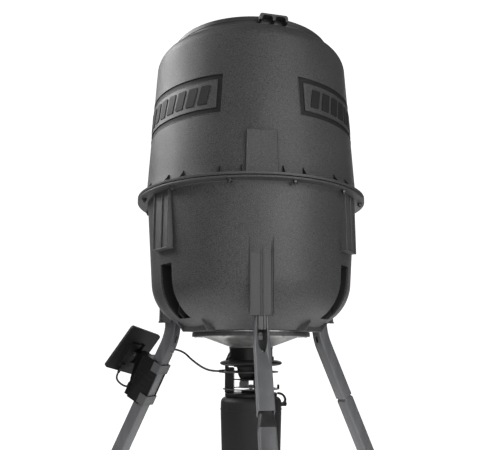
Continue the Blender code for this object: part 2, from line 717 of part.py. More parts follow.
def canister():
    obj = canister_shell("canister", CANISTER_GREY)
    opening = box("door_opening", (0.040, -DOOR_HALF, DOOR_Z[0]), (0.090, DOOR_HALF, DOOR_Z[1]),
                  matrix=turn(DOOR_AZIMUTH))
    ears = []
    for side in (-0.0095, 0.0095):
        outline = [(0.0655, -0.1560), (0.0800, -0.1560), *arc(LATCH_PIVOT, 0.0045, 0, 150, 6),
                   (0.0655, -0.1500)]
        shift = Matrix.Translation((0.0, 0.0, side))
        ears.append(prism("ear", outline, 0.0015, matrix=radial_plate(LATCH_AZIMUTH) @ shift))
    lugs = []
    frame = door_hinge_frame()
    for low, high in ((DOOR_Z[0] - 0.0065, DOOR_Z[0] - 0.0005), (DOOR_Z[1] + 0.0005, DOOR_Z[1] + 0.0065)):
        lugs.append(box("lug", (-0.0040, -0.0110, low), (0.0032, 0.0032, high), matrix=frame))
    pin_hole = rod("pin_hole", 0.0016, DOOR_Z[0] - 0.0090, DOOR_Z[1] + 0.0090, sides=12, matrix=frame)
    cut(obj, opening)
    join(obj, gathered("latch_ears", ears), gathered("door_lugs", lugs))
    across = radial_plate(LATCH_AZIMUTH) @ Matrix.Translation((*LATCH_PIVOT, 0.0))
    cut(obj, pin_hole, rod("ear_hole", LATCH_PIN_R + GAP, -0.0150, 0.0150, sides=12, matrix=across))


def canister_door():
    """A curved door cut from the same wall, with a barrel round the pin."""
    frame = door_hinge_frame()
    hinge = bpy.data.objects.new("door_axis", None)
    PARTS.objects.link(hinge)
    hinge.parent = AXIS
    hinge.matrix_local = frame
    clear = 0.0006
    wall = meshed(canister_shell("door_wall"))
    bpy.data.objects.remove(bpy.data.objects["door_wall"])
    wall.transform(frame.inverted())
    door = place(wall, "canister_door", None, CANISTER_GREY, hinge)
    low, high = DOOR_Z[0] + clear, DOOR_Z[1] - clear
    keep = box("door_blank", (0.0010 + clear, -0.030, low), (2 * DOOR_HALF + 0.0010 - clear, 0.030, high),
               parent=hinge)
    barrel = rod("door_barrel", 0.0030, low, high, sides=16, parent=hinge)
    web = box("door_web", (0.0, -0.0030, low), (0.0100, 0.0005, high), parent=hinge)
    bore = rod("door_bore", 0.0016, low - 0.01, high + 0.01, sides=12, parent=hinge)
    boolean(door, keep, "INTERSECT")
    join(door, web, barrel)
    cut(door, bore)
    rod("door_pin", 0.0013, DOOR_Z[0] - 0.0070, DOOR_Z[1] + 0.0070, STEEL, sides=12, matrix=frame)


def canister_latch():
    """A hooked strap, pivoted between the canister's ears, that holds the kit's plate."""
    pivot = LATCH_PIVOT
    latch = bpy.data.objects.new("latch_axis", None)
    PARTS.objects.link(latch)
    latch.parent = AXIS
    latch.matrix_local = radial_plate(LATCH_AZIMUTH) @ Matrix.Translation((*pivot, 0.0))
    points = [
        (0.0606, -0.1255), *arc((0.0640, -0.1430), 0.0170, 90, 8, 7), *arc(pivot, 0.0036, 20, -200, 7),
        *arc((0.0640, -0.1430), 0.0120, 0, 82, 6), (0.0606, -0.1300)]
    outline = [(x - pivot[0], y - pivot[1]) for x, y in points]
    strap = prism("canister_latch", outline, 0.0070, KIT_BLACK, parent=latch)
    join(strap, rod("latch_pin", LATCH_PIN_R, -0.0107, 0.0107, sides=12, parent=latch))


def controls():
    """Timer module with three push buttons, and the battery, inside the canister."""
    module = box("timer_module", (0.0405, -0.029, -0.290), (0.0520, 0.029, -0.205), KIT_BLACK,
                 matrix=turn(DOOR_AZIMUTH))
    cut(module, box("display_recess", (0.0508, -0.021, -0.240), (0.060, 0.021, -0.214),
                    matrix=turn(DOOR_AZIMUTH)))
    wells = []
    for number, side in enumerate((-0.016, 0.0, 0.016), 1):
        height = -0.262
        wells.append(box("well", (0.0480, side - 0.0056, height - 0.0046),
                         (0.060, side + 0.0056, height + 0.0046),
                         matrix=turn(DOOR_AZIMUTH)))
        box(f"timer_button_{number}", (0.0505, side - 0.005, height - 0.004),
            (0.0538, side + 0.005, height + 0.004),
            RUBBER, matrix=turn(DOOR_AZIMUTH))
    cut(module, gathered("button_wells", wells))
    battery = box("battery", (-0.0330, -0.0410, -0.3240), (0.0330, 0.0250, -0.2220), BATTERY_GREEN)
    post = rod("battery_post", 0.006, -0.2225, -0.2140, sides=16,
               matrix=Matrix.Translation((0.012, -0.020, 0.0)))
    join(battery, post)


# ---------------------------------------------------------------- solar panel and cables
def clamp_frame():
    return leg_frame(LEG_AZIMUTHS["left"], CLAMP_Z)


def leg_clamp():
    """Saddle on the left leg's outer side, with two lugs that hold the arm's barrel."""
    frame = clamp_frame()
    obj = box("leg_clamp", (-0.002, -0.0205, -0.078), (0.0360, 0.0205, 0.036), KIT_BLACK, matrix=frame)
    half = TUBE / 2 + GAP
    channel = box("clamp_channel", (-0.050, -half, -0.10), (half, half, 0.10), matrix=frame)
    lugs = []
    for low, high in ((0.0265, 0.0350), (-0.0610, -0.0525)):
        outline = [(0.030, -0.0095), (SWIVEL_X, -0.0095), *arc((SWIVEL_X, 0.0), 0.0095, -80, 80, 7),
                   (SWIVEL_X, 0.0095),
                   (0.030, 0.0095)]
        shift = Matrix.Translation((0.0, 0.0, (low + high) / 2))
        lugs.append(prism("lug", outline, (high - low) / 2, matrix=frame @ shift))
    foot_end = box("clamp_foot", (0.0340, -0.0120, -0.078), (0.0520, 0.0120, -0.0625), matrix=frame)
    boss = box("boss", (0.0048, -0.0290, 0.0020), (0.0168, -0.0200, 0.0160), matrix=frame)
    at_boss = frame @ Matrix.Translation((0.0108, CABLE_SIDE, 0.0))
    relief = rod("relief", 0.0044, 0.0150, 0.0360, sides=12, matrix=at_boss, tip=0.0035)
    hole = rod("cable_hole", CABLE_D / 2 + GAP, 0.0080, 0.0600, sides=12, matrix=at_boss)
    cheeks = box("clamp_cheeks", (-0.0165, -0.0205, -0.0495), (0.0, 0.0205, 0.0095), matrix=frame)
    join(obj, cheeks, gathered("clamp_lugs", lugs), foot_end, boss, relief)
    cut(obj, channel, hole)


def clamp_straps():
    """Saddle straps that close the clamp round the leg's inner side."""
    frame = clamp_frame()
    outline = [(-0.0192, -0.0230), (0.0040, -0.0230), (0.0040, -0.0210), (-0.0168, -0.0210),
               (-0.0168, 0.0210),
               (0.0040, 0.0210), (0.0040, 0.0230), (-0.0192, 0.0230)]
    for name, height in (("strap_upper", 0.022), ("strap_lower", -0.062)):
        prism(name, outline, 0.012, STRAP_GREY, frame @ Matrix.Translation((0.0, 0.0, height)))


def lead_entry():
    """Frame beside the swivel's axis where the lead goes up into the arm, parallel to the swivel's own."""
    return Matrix.Rotation(math.radians(LEAD_TURN), 4, "Z") @ Matrix.Translation((LEAD_TURN_R, 0.0, 0.0))


def panel_arm():
    """Arm that swivels between the clamp's lugs and ends in a rounded eye."""
    swivel = bpy.data.objects.new("swivel_axis", None)
    PARTS.objects.link(swivel)
    swivel.parent = AXIS
    swivel.matrix_local = (clamp_frame() @ Matrix.Translation((SWIVEL_X, 0.0, 0.0))
                           @ Matrix.Rotation(math.radians(-ARM_TURN), 4, "Z"))
    obj = rod("panel_arm", 0.0078, -0.0521, 0.0261, KIT_BLACK, sides=20, parent=swivel)
    upright = Matrix.Rotation(math.radians(90.0), 4, "X")
    outline = [(0.0, -0.0450), (0.0060, -0.0450), (0.0180, 0.0060),
               *arc((TILT_AXIS_X, TILT_AXIS_Z), 0.0090, -60, 110, 7),
               (0.0, 0.0240)]
    plate = prism("arm_plate", outline, 0.0060, matrix=upright, parent=swivel)
    eye = rod("arm_eye", 0.0029, -0.03, 0.03, sides=12, parent=swivel,
              matrix=Matrix.Translation((TILT_AXIS_X, 0.0, TILT_AXIS_Z)) @ upright)
    entry = lead_entry()
    side = Matrix.Rotation(math.radians(LEAD_TURN), 4, "Z")
    block = box("lead_block", (0.0020, -0.0048, -0.0370), (LEAD_TURN_R + 0.0048, 0.0048, -0.0220),
                matrix=side, parent=swivel)
    relief = rod("lead_relief", 0.0035, -0.0500, -0.0360, sides=12, matrix=entry, parent=swivel, tip=0.0045)
    hole = rod("lead_hole", CABLE_D / 2 + GAP, -0.0700, -0.0280, sides=12, matrix=entry, parent=swivel)
    join(obj, plate, block, relief)
    cut(obj, eye, hole)
    screw = rod("tilt_screw", 0.0025, -0.0140, 0.0125, STEEL, sides=12, parent=swivel,
                matrix=Matrix.Translation((TILT_AXIS_X, 0.0, TILT_AXIS_Z)) @ upright)
    head = rod("tilt_screw_head", 0.0055, -0.0160, -0.0123, sides=16, parent=swivel,
               matrix=Matrix.Translation((TILT_AXIS_X, 0.0, TILT_AXIS_Z)) @ upright)
    join(screw, head)
    return swivel


def solar_panel(swivel):
    """Tray with two ears on the tilt screw, and the glazed cell that it frames."""
    tilt = bpy.data.objects.new("tilt_axis", None)
    PARTS.objects.link(tilt)
    tilt.parent = swivel
    tilt.matrix_local = (Matrix.Translation((TILT_AXIS_X, 0.0, TILT_AXIS_Z))
                         @ Matrix.Rotation(math.radians(-PANEL_TILT), 4, "Y"))
    wide, tall = PANEL_SIZE
    across = 0.011
    back = PANEL_STAND_OFF
    front = back + PANEL_T
    low = (back, across - wide / 2, -tall / 2)
    high = (front, across + wide / 2, tall / 2)
    middle = Matrix.Translation((0.0, across, 0.0))
    roll = middle @ Matrix.Rotation(math.radians(PANEL_ROLL), 4, "X") @ middle.inverted()
    tray = box("solar_tray", low, high, KIT_BLACK, matrix=roll, parent=tilt)
    rim = 0.005
    seat = box("cell_seat", (front - 0.0030, low[1] + rim, low[2] + rim),
               (front + 0.01, high[1] - rim, high[2] - rim),
               matrix=roll, parent=tilt)
    housing = box("tray_housing", (back - 0.0050, across - 0.026, -0.046),
                  (back + 0.001, across + 0.022, 0.024), parent=tilt)
    groove = box("tray_groove", (0.0, -0.0064, -0.030), (back - 0.0002, 0.0064, 0.030), parent=tilt)
    ears = []
    upright = Matrix.Rotation(math.radians(90.0), 4, "X")
    for side in (-0.0092, 0.0092):
        outline = [(back + 0.001, -0.0100), (back + 0.001, 0.0100), *arc((0.0, 0.0), 0.0065, 60, 300, 9)]
        ears.append(prism("ear", outline, 0.0027, matrix=Matrix.Translation((0.0, side, 0.0)) @ upright))
    bore = rod("ear_bore", 0.0029, -0.02, 0.02, sides=12, matrix=upright, parent=tilt)
    exit_at = Matrix.Translation(LEAD_EXIT)
    block = box("lead_exit", (back - 0.0095, LEAD_EXIT[1] - 0.0055, -0.0520),
                (back + 0.001, LEAD_EXIT[1] + 0.0055, -0.0360),
                parent=tilt)
    relief = rod("tray_relief", 0.0034, -0.0635, -0.0510, sides=12, matrix=exit_at, parent=tilt, tip=0.0044)
    hole = rod("tray_hole", CABLE_D / 2 + GAP, -0.0900, -0.0450, sides=12, matrix=exit_at, parent=tilt)
    join(tray, housing, block, relief)
    cut(tray, seat, groove)
    join(tray, gathered_on(tilt, "tray_ears", ears))
    cut(tray, bore, hole)
    inset = rim + GAP
    box("solar_cell", (front - 0.0027, low[1] + inset, low[2] + inset),
        (front - 0.0002, high[1] - inset, high[2] - inset),
        CELL_BLUE, matrix=roll, parent=tilt)
    return tilt


def smooth_route(corners, spacing):
    """Evenly spaced points on the smooth curve inside a polyline, which leaves both ends straight."""
    fine = [Vector(p) for p in corners]
    for _ in range(5):
        inner = []
        for p, q in zip(fine, fine[1:]):
            inner += [p.lerp(q, 0.25), p.lerp(q, 0.75)]
        fine = [fine[0], *inner[1:-1], fine[-1]]
    length = sum((q - p).length for p, q in zip(fine, fine[1:]))
    count = round(length / spacing)
    route = [fine[0]]
    walked = 0.0
    for p, q in zip(fine, fine[1:]):
        step = (q - p).length
        while len(route) < count and walked + step >= length * len(route) / count:
            route.append(p.lerp(q, (length * len(route) / count - walked) / step))
        walked += step
    route.append(fine[-1])
    return route


def cable(name, points):
    """A round cable through these points, which are in the frame of feeder_axis."""
    curve = bpy.data.curves.new(name, "CURVE")
    curve.dimensions = "3D"
    curve.bevel_depth = CABLE_D / 2
    curve.bevel_resolution = 1
    curve.use_fill_caps = True
    route = smooth_route(points, 1.3 * CABLE_D)
    spline = curve.splines.new("POLY")
    spline.points.add(len(route) - 1)
    for point, at in zip(spline.points, route):
        point.co = (*at, 1.0)
    obj = bpy.data.objects.new(name, curve)
    PARTS.objects.link(obj)
    obj.parent = AXIS
    curve.materials.append(CABLE_BLACK)


def gland_frame():
    """Frame of the strain relief: origin on the outer face of the left rear post, +Z out along the cable."""
    return (turn(LEG_AZIMUTHS["left"] + KIT_TURN) @ Matrix.Translation((POST_OUTER_R + GAP, 0.0, GLAND_Z))
            @ Matrix.Rotation(math.radians(-GLAND_TURN), 4, "Z") @ Matrix.Rotation(HALF_PI, 4, "Y"))


def cable_gland():
    """Tapered strain relief on the post, bored for the cable."""
    frame = gland_frame()
    obj = rod("cable_gland", 0.0045, -0.0070, GLAND_LENGTH, KIT_BLACK, sides=16, matrix=frame, tip=0.0034)
    face = box("post_face", (0.0400, -0.0200, -0.0900), (POST_OUTER_R + GAP, 0.0200, -0.0600),
               matrix=turn(LEG_AZIMUTHS["left"] + KIT_TURN))
    bore = rod("gland_bore", CABLE_D / 2 + GAP, 0.0050, GLAND_LENGTH + 0.0100, sides=16, matrix=frame)
    cut(obj, face, bore)


def cables(tilt):
    """The cable from the clamp to the kit, and the lead from the tray down and up into the arm."""
    clamp = clamp_frame()
    gland = gland_frame()
    start = [(0.0108, CABLE_SIDE, 0.0095), (0.0108, CABLE_SIDE, 0.0660), (-0.0300, -0.0270, 0.0800)]
    middle = [(-0.1349, 0.0917, -0.0568)]
    end = [(0.0, 0.0, 0.0600), (0.0, 0.0, 0.0065)]
    cable("main_cable", [clamp @ Vector(p) for p in start] + middle + [gland @ Vector(p) for p in end])
    to_tray = AXIS_FRAME_INVERSE @ world_of(tilt) @ Matrix.Translation(LEAD_EXIT)
    to_arm = AXIS_FRAME_INVERSE @ world_of(tilt.parent) @ lead_entry()
    at_tray = [(0.0, 0.0, -0.0475), (0.0, 0.0, -0.0850)]
    at_arm = [(0.0, 0.0, -0.0740), (0.0, 0.0, -0.0305)]
    cable("panel_lead", [to_tray @ Vector(p) for p in at_tray] + [to_arm @ Vector(p) for p in at_arm])


def world_of(obj):
    bpy.context.view_layer.update()
    return obj.matrix_world


# ---------------------------------------------------------------- materials and build order
BODY = material("barrel_plastic", (0.060, 0.060, 0.062), 0.55)
LEG_PAINT = material("leg_paint", (0.080, 0.080, 0.085), 0.45, 0.3)
KIT_BLACK = material("kit_plastic", (0.018, 0.018, 0.019), 0.45)
CANISTER_GREY = material("canister_plastic", (0.040, 0.040, 0.042), 0.50)
GALVANISED = material("galvanised_steel", (0.55, 0.55, 0.54), 0.35, 0.9)
STEEL = material("zinc_steel", (0.50, 0.50, 0.50), 0.30, 1.0)
RUBBER = material("rubber", (0.020, 0.020, 0.020), 0.80)
BATTERY_GREEN = material("battery_case", (0.050, 0.110, 0.070), 0.50)
CELL_BLUE = material("solar_cell", (0.010, 0.015, 0.045), 0.10)
STRAP_GREY = material("strap_plastic", (0.160, 0.160, 0.160), 0.50)
CABLE_BLACK = material("cable_jacket", (0.012, 0.012, 0.012), 0.50)


def build():
    upper_hopper()
    lower_hopper()
    flange_gasket()
    flange_bolts()
    lid()
    lid_grip()
    base_and_funnel()
    for side, azimuth in LEG_AZIMUTHS.items():
        upper_leg(side, azimuth)
        leg_screw(side, azimuth)
        lower_tubes(side, azimuth)
        foot(side, azimuth)
    kit_collar()
    kit_chute()
    kit_frame()
    spinner()
    motor()
    canister()
    canister_door()
    canister_latch()
    controls()
    leg_clamp()
    clamp_straps()
    cable_gland()
    cables(solar_panel(panel_arm()))


build()
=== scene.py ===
"""Looks of the spin cast feeder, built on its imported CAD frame. Metres, +Z up."""
import json
import math
import random

import bmesh
import bpy
from mathutils import Matrix, Vector


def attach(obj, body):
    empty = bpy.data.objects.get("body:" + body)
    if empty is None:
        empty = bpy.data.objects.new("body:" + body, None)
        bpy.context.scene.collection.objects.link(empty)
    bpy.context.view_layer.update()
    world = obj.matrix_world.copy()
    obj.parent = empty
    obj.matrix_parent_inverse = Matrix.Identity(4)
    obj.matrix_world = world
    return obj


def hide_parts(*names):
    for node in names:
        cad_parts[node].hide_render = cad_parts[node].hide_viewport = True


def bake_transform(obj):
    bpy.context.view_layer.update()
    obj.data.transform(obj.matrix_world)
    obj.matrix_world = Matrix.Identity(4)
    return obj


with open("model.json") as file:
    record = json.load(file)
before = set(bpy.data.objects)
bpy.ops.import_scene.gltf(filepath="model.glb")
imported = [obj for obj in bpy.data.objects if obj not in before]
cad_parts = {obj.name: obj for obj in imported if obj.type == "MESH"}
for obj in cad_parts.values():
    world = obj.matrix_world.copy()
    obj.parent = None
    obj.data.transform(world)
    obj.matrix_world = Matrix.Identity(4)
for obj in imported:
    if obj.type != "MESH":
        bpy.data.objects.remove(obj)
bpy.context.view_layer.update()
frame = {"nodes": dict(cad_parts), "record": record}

# ---------------------------------------------------------------- frame and dimensions
BASE_HEIGHT = 1.0
LEG_SLOPE = 0.515
LEG_LINE_R = 0.2170
SOCKET_R = 0.2140
FOOT_R = LEG_LINE_R + LEG_SLOPE * (BASE_HEIGHT - 0.005)
AXIS_Y = FOOT_R / 4
LEG_TILT = math.atan(LEG_SLOPE)
AXIS = Matrix.Translation((0.0, AXIS_Y, BASE_HEIGHT))  # barrel axis at the height of the barrel's base
LEGS = {"front": 0.0, "right": 120.0, "left": -120.0}
GRIPS = (-56.6, 56.6, 180.0)
BOLTS = range(15, 360, 30)
FLANGE_TOP = 0.3195
FLANGE_LOW = 0.3095
GASKET_LOW = 0.3145


def turn(azimuth):
    """Rotation that takes +X to this azimuth. Azimuth 0 is -Y, and it grows towards +X."""
    return Matrix.Rotation(math.radians(azimuth - 90.0), 4, "Z")


def radial(azimuth):
    """Frame for an outline drawn as (radius, height), thickened along the tangent."""
    return turn(azimuth) @ Matrix.Rotation(math.radians(90.0), 4, "X")


def facing(azimuth, radius):
    """Frame for an outline drawn as (tangent, height), thickened along the radius."""
    out = Matrix.Rotation(math.radians(azimuth + 180.0), 4, "Z")
    return out @ Matrix.Translation((0.0, radius, 0.0)) @ Matrix.Rotation(math.radians(90.0), 4, "X")


def leg_frame(azimuth, height):
    """Frame on a straight leg: origin on its line at this height, +X out, +Z up along the tube."""
    radius = LEG_LINE_R - LEG_SLOPE * height
    return turn(azimuth) @ Matrix.Translation((radius, 0.0, height)) @ Matrix.Rotation(-LEG_TILT, 4, "Y")


CLAMP = leg_frame(-120.0, -0.090)
SWIVEL = CLAMP @ Matrix.Translation((0.050, 0.0, 0.0)) @ Matrix.Rotation(math.radians(-18.0), 4, "Z")
TILT = (SWIVEL @ Matrix.Translation((0.0225, 0.0, 0.018)) @ Matrix.Rotation(math.radians(-9.0), 4, "Y"))
GLAND = (turn(-106.0) @ Matrix.Translation((0.0598, 0.0, -0.0795)) @ Matrix.Rotation(math.radians(-30.0), 4, "Z")
         @ Matrix.Rotation(math.radians(90.0), 4, "Y"))

# ---------------------------------------------------------------- camera
camera_data = bpy.data.cameras.new("camera")
camera = bpy.data.objects.new("camera", camera_data)
bpy.context.scene.collection.objects.link(camera)
camera_data.sensor_width = 36.0
camera_data.lens = 43.58
camera_data.shift_x = -0.002
camera_data.clip_start = 0.05
camera_data.clip_end = 60.0
camera.location = (-0.1346, AXIS_Y - 1.4350, BASE_HEIGHT - 0.0347)
camera.rotation_euler = (math.radians(90.0) + 0.2063, 0.0, -math.atan2(0.1346, 1.4350))
bpy.context.scene.camera = camera


# ---------------------------------------------------------------- materials
class Shader:
    """A node material put together a step at a time. Texture coordinates are the object's own, in metres."""

    def __init__(self, name, colour, roughness, metallic=0.0):
        self.material = bpy.data.materials.new(name)
        self.material.use_nodes = True
        self.nodes = self.material.node_tree.nodes
        self.links = self.material.node_tree.links
        self.bsdf = self.nodes["Principled BSDF"]
        self.bsdf.inputs["Base Color"].default_value = (*colour, 1.0)
        self.bsdf.inputs["Roughness"].default_value = roughness
        self.bsdf.inputs["Metallic"].default_value = metallic
        self.material.diffuse_color = (*colour, 1.0)
        self.colour = colour
        self.roughness = roughness
        self.coords = self.nodes.new("ShaderNodeTexCoord").outputs["Object"]
        self.bump = None

    def set(self, **values):
        for key, value in values.items():
            self.bsdf.inputs[key.replace("_", " ")].default_value = value
        return self

    def stretched(self, scale):
        mapping = self.nodes.new("ShaderNodeMapping")
        mapping.inputs["Scale"].default_value = scale
        self.links.new(self.coords, mapping.inputs["Vector"])
        return mapping.outputs["Vector"]

    def noise(self, scale, detail=3.0, stretch=None):
        node = self.nodes.new("ShaderNodeTexNoise")
        node.inputs["Scale"].default_value = scale
        node.inputs["Detail"].default_value = detail
        self.links.new(self.stretched(stretch) if stretch else self.coords, node.inputs["Vector"])
        return node.outputs["Fac"]

    def cells(self, scale, feature="F1", output="Distance"):
        node = self.nodes.new("ShaderNodeTexVoronoi")
        node.feature = feature
        node.inputs["Scale"].default_value = scale
        self.links.new(self.coords, node.inputs["Vector"])
        return node.outputs[output]

    def ramp(self, value, stops):
        node = self.nodes.new("ShaderNodeValToRGB")
        elements = node.color_ramp.elements
        while len(elements) < len(stops):
            elements.new(0.5)
        for element, (at, colour) in zip(elements, stops):
            element.position = at
            element.color = (*colour, 1.0) if len(colour) == 3 else colour
        self.links.new(value, node.inputs["Fac"])
        return node.outputs["Color"]

    def range(self, value, low, high, start=0.0, end=1.0):
        node = self.nodes.new("ShaderNodeMapRange")
        node.inputs["From Min"].default_value = start
        node.inputs["From Max"].default_value = end
        node.inputs["To Min"].default_value = low
        node.inputs["To Max"].default_value = high
        self.links.new(value, node.inputs["Value"])
        return node.outputs["Result"]

    def mix(self, first, second, amount, mode="MIX"):
        node = self.nodes.new("ShaderNodeMix")
        node.data_type = "RGBA"
        node.blend_type = mode
        if isinstance(amount, float):
            node.inputs[0].default_value = amount
        else:
            self.links.new(amount, node.inputs[0])
        for socket, value in ((node.inputs[6], first), (node.inputs[7], second)):
            if isinstance(value, tuple):
                socket.default_value = (*value, 1.0)
            else:
                self.links.new(value, socket)
        return node.outputs[2]

    def to_colour(self, value):
        self.links.new(value, self.bsdf.inputs["Base Color"])
        return self

    def to_roughness(self, value):
        self.links.new(value, self.bsdf.inputs["Roughness"])
        return self

    def add_bump(self, height, strength, distance):
        node = self.nodes.new("ShaderNodeBump")
        node.inputs["Strength"].default_value = strength
        node.inputs["Distance"].default_value = distance
        self.links.new(height, node.inputs["Height"])
        if self.bump:
            self.links.new(self.bump, node.inputs["Normal"])
        self.bump = node.outputs["Normal"]
        self.links.new(self.bump, self.bsdf.inputs["Normal"])
        return self

    def edge_wear(self, colour, amount):
        """Paler where the surface turns sharply outwards, as on handled edges."""
        geometry = self.nodes.new("ShaderNodeNewGeometry")
        return self.mix(colour, tuple(min(1.0, c * amount) for c in self.colour),
                        self.range(geometry.outputs["Pointiness"], 0.0, 1.0, 0.53, 0.60))


def shade(colour, amount):
    return tuple(c * amount for c in colour)


def moulded(name, colour, roughness, grain=900.0, depth=0.00012, speck=0.35, wear=1.5):
    """Moulded plastic with a fine pebbled skin, faint flow clouds and rubbed edges."""
    made = Shader(name, colour, roughness)
    pebbles = made.cells(grain)
    fine = made.noise(grain * 1.7, 2.0)
    clouds = made.noise(9.0, 4.0)
    cloudy = made.ramp(clouds, [(0.30, shade(colour, 0.90)), (0.70, shade(colour, 1.12))])
    coarse = made.noise(grain * 0.85, 1.0)
    dimpled = made.mix(cloudy, shade(colour, 1.0 - 0.9 * speck), made.range(coarse, 0.9, 0.0, 0.36, 0.50))
    specked = made.mix(dimpled, shade(colour, 1.0 + 3.2 * speck), made.range(fine, 0.0, 0.75, 0.54, 0.68))
    made.to_colour(made.edge_wear(specked, wear))
    made.to_roughness(made.range(clouds, roughness - 0.06, roughness + 0.08, 0.3, 0.7))
    made.add_bump(pebbles, 0.55, depth)
    made.add_bump(fine, 0.35, depth * 0.6)
    return made


def painted(name, colour, roughness):
    """Powder coat over steel tube: a hint of orange peel, scuffs and paler edges."""
    made = Shader(name, colour, roughness, 0.15)
    peel = made.noise(420.0, 3.0)
    spots = made.noise(1700.0, 1.0)
    scuffs = made.noise(60.0, 5.0, (1.0, 1.0, 0.12))
    dusty = made.mix(colour, shade(colour, 1.5), made.range(scuffs, 0.0, 0.55, 0.48, 0.70))
    specked = made.mix(dusty, shade(colour, 2.4), made.range(spots, 0.0, 0.6, 0.58, 0.72))
    made.to_colour(made.edge_wear(specked, 2.2))
    made.to_roughness(made.range(scuffs, roughness - 0.05, roughness + 0.12, 0.35, 0.7))
    made.add_bump(peel, 0.5, 0.00010)
    return made


def sheet_metal(name, colour, roughness):
    """Galvanised sheet with spangle, streaks and a dull film."""
    made = Shader(name, colour, roughness, 0.85)
    spangle = made.cells(95.0, "F1", "Color")
    grey = made.ramp(spangle, [(0.2, shade(colour, 0.82)), (0.8, shade(colour, 1.12))])
    film = made.noise(26.0, 5.0)
    made.to_colour(made.mix(grey, shade(colour, 0.72), made.range(film, 0.0, 0.6, 0.50, 0.75)))
    made.to_roughness(made.range(film, roughness - 0.08, roughness + 0.15, 0.3, 0.7))
    made.add_bump(made.noise(700.0, 2.0), 0.25, 0.00006)
    return made


def bright_steel(name, colour, roughness):
    """Zinc-plated or turned steel, brushed along its length."""
    made = Shader(name, colour, roughness, 1.0)
    brush = made.noise(380.0, 2.0, (1.0, 1.0, 9.0))
    made.to_colour(made.ramp(brush, [(0.3, shade(colour, 0.8)), (0.7, shade(colour, 1.1))]))
    made.to_roughness(made.range(brush, roughness - 0.06, roughness + 0.14))
    made.add_bump(brush, 0.2, 0.00004)
    return made


def rubbery(name, colour, roughness):
    made = Shader(name, colour, roughness)
    dust = made.noise(75.0, 6.0)
    made.to_colour(made.mix(colour, shade(colour, 2.6), made.range(dust, 0.0, 0.5, 0.46, 0.72)))
    made.to_roughness(made.range(dust, roughness - 0.08, roughness + 0.1))
    made.add_bump(made.noise(1500.0, 2.0), 0.5, 0.00008)
    return made


def cell_glass(name):
    """Dark blue solar cells under glass, each with a slightly different tone."""
    made = Shader(name, (0.006, 0.010, 0.035), 0.12)
    made.set(Coat_Weight=1.0, Coat_Roughness=0.03, IOR=1.5)
    mottle = made.cells(160.0, "F1", "Color")
    made.to_colour(made.ramp(mottle, [(0.1, (0.004, 0.007, 0.024)), (0.9, (0.010, 0.018, 0.060))]))
    made.to_roughness(made.range(made.noise(40.0, 4.0), 0.08, 0.22))
    return made


BODY = moulded("barrel_pebbled", (0.0340, 0.0345, 0.0345), 0.50, 430.0, 0.00040, 0.62)
BODY_SMOOTH = moulded("barrel_satin", (0.0300, 0.0305, 0.0305), 0.42, 1500.0, 0.00005, 0.15)
# Darker copy of the barrel plastic: painted shade for panel grooves, panel bars, gussets, grip pocket liners and their
# ribs.
BODY_PAINTED_SHADE = moulded("barrel_painted_shade", (0.0120, 0.0120, 0.0125), 0.60)
CANISTER = moulded("canister_satin", (0.0125, 0.0127, 0.0130), 0.50, 1300.0, 0.00006, 0.10)
KIT = moulded("kit_black", (0.0055, 0.0055, 0.0058), 0.42, 1500.0, 0.00005, 0.12, 2.0)
# A lighter copy of the kit black, used for the guard rings, which show dark grey.
KIT_LIGHTER = moulded("kit_black_lighter", (0.0110, 0.0110, 0.0115), 0.38, 1500.0, 0.00005, 0.20, 2.0)
for dull in (KIT, CANISTER, BODY_PAINTED_SHADE):
    dull.set(Specular_IOR_Level=0.22)
STRAP = moulded("strap_grey", (0.062, 0.063, 0.064), 0.45, 1300.0, 0.00005, 0.10, 1.4)
PAINT = painted("leg_powder_coat", (0.082, 0.083, 0.088), 0.40)
# Near-black copy of the leg paint: painted shade for the front leg's exposed necks below each joint.
PAINT_NECK_SHADE = painted("leg_neck_painted_shade", (0.012, 0.012, 0.0125), 0.45)
SHEET = sheet_metal("galvanised_sheet", (0.34, 0.34, 0.335), 0.36)
BOLT_ZINC = bright_steel("bolt_zinc_dull", (0.105, 0.105, 0.103), 0.42)
STEEL = bright_steel("zinc_plate", (0.30, 0.30, 0.29), 0.34)
BRIGHT = bright_steel("screw_bright", (0.78, 0.78, 0.76), 0.22)
RUBBER = rubbery("black_rubber", (0.0085, 0.0085, 0.0085), 0.78)
JACKET = rubbery("cable_jacket_black", (0.0060, 0.0060, 0.0060), 0.48)
BATTERY = moulded("battery_case_green", (0.045, 0.100, 0.062), 0.40, 1200.0, 0.00005, 0.10)
CELLS = cell_glass("solar_glass")
BARS = bright_steel("cell_bars", (0.42, 0.43, 0.44), 0.35)


# ---------------------------------------------------------------- mesh helpers
def piece(name, bm, shader, body, matrix=None, replaces=(), bevel=0.0, steps=2, angle=32.0,
          weighted=True):
    """A finished piece: its mesh put in the row's frame, smoothed by angle, bevelled, and riding on a body."""
    mesh = bpy.data.meshes.new(name)
    bm.transform(AXIS @ (matrix or Matrix()))
    bm.to_mesh(mesh)
    bm.free()
    obj = bpy.data.objects.new(name, mesh)
    bpy.context.scene.collection.objects.link(obj)
    mesh.materials.append(shader.material)
    mesh.shade_smooth()
    mesh.set_sharp_from_angle(angle=math.radians(angle))
    if bevel:
        rounding = obj.modifiers.new("Bevel", "BEVEL")
        rounding.width = bevel
        rounding.segments = steps
        rounding.limit_method = "ANGLE"
        rounding.angle_limit = math.radians(angle)
        rounding.harden_normals = False
        if weighted:
            normals = obj.modifiers.new("Normals", "WEIGHTED_NORMAL")
            normals.keep_sharp = True
    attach(obj, body)
    if replaces:
        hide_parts(*replaces)
    return obj


def arc(centre, radius, start, end, count):
    angles = [math.radians(start + (end - start) * i / (count - 1)) for i in range(count)]
    return [(centre[0] + radius * math.cos(a), centre[1] + radius * math.sin(a)) for a in angles]


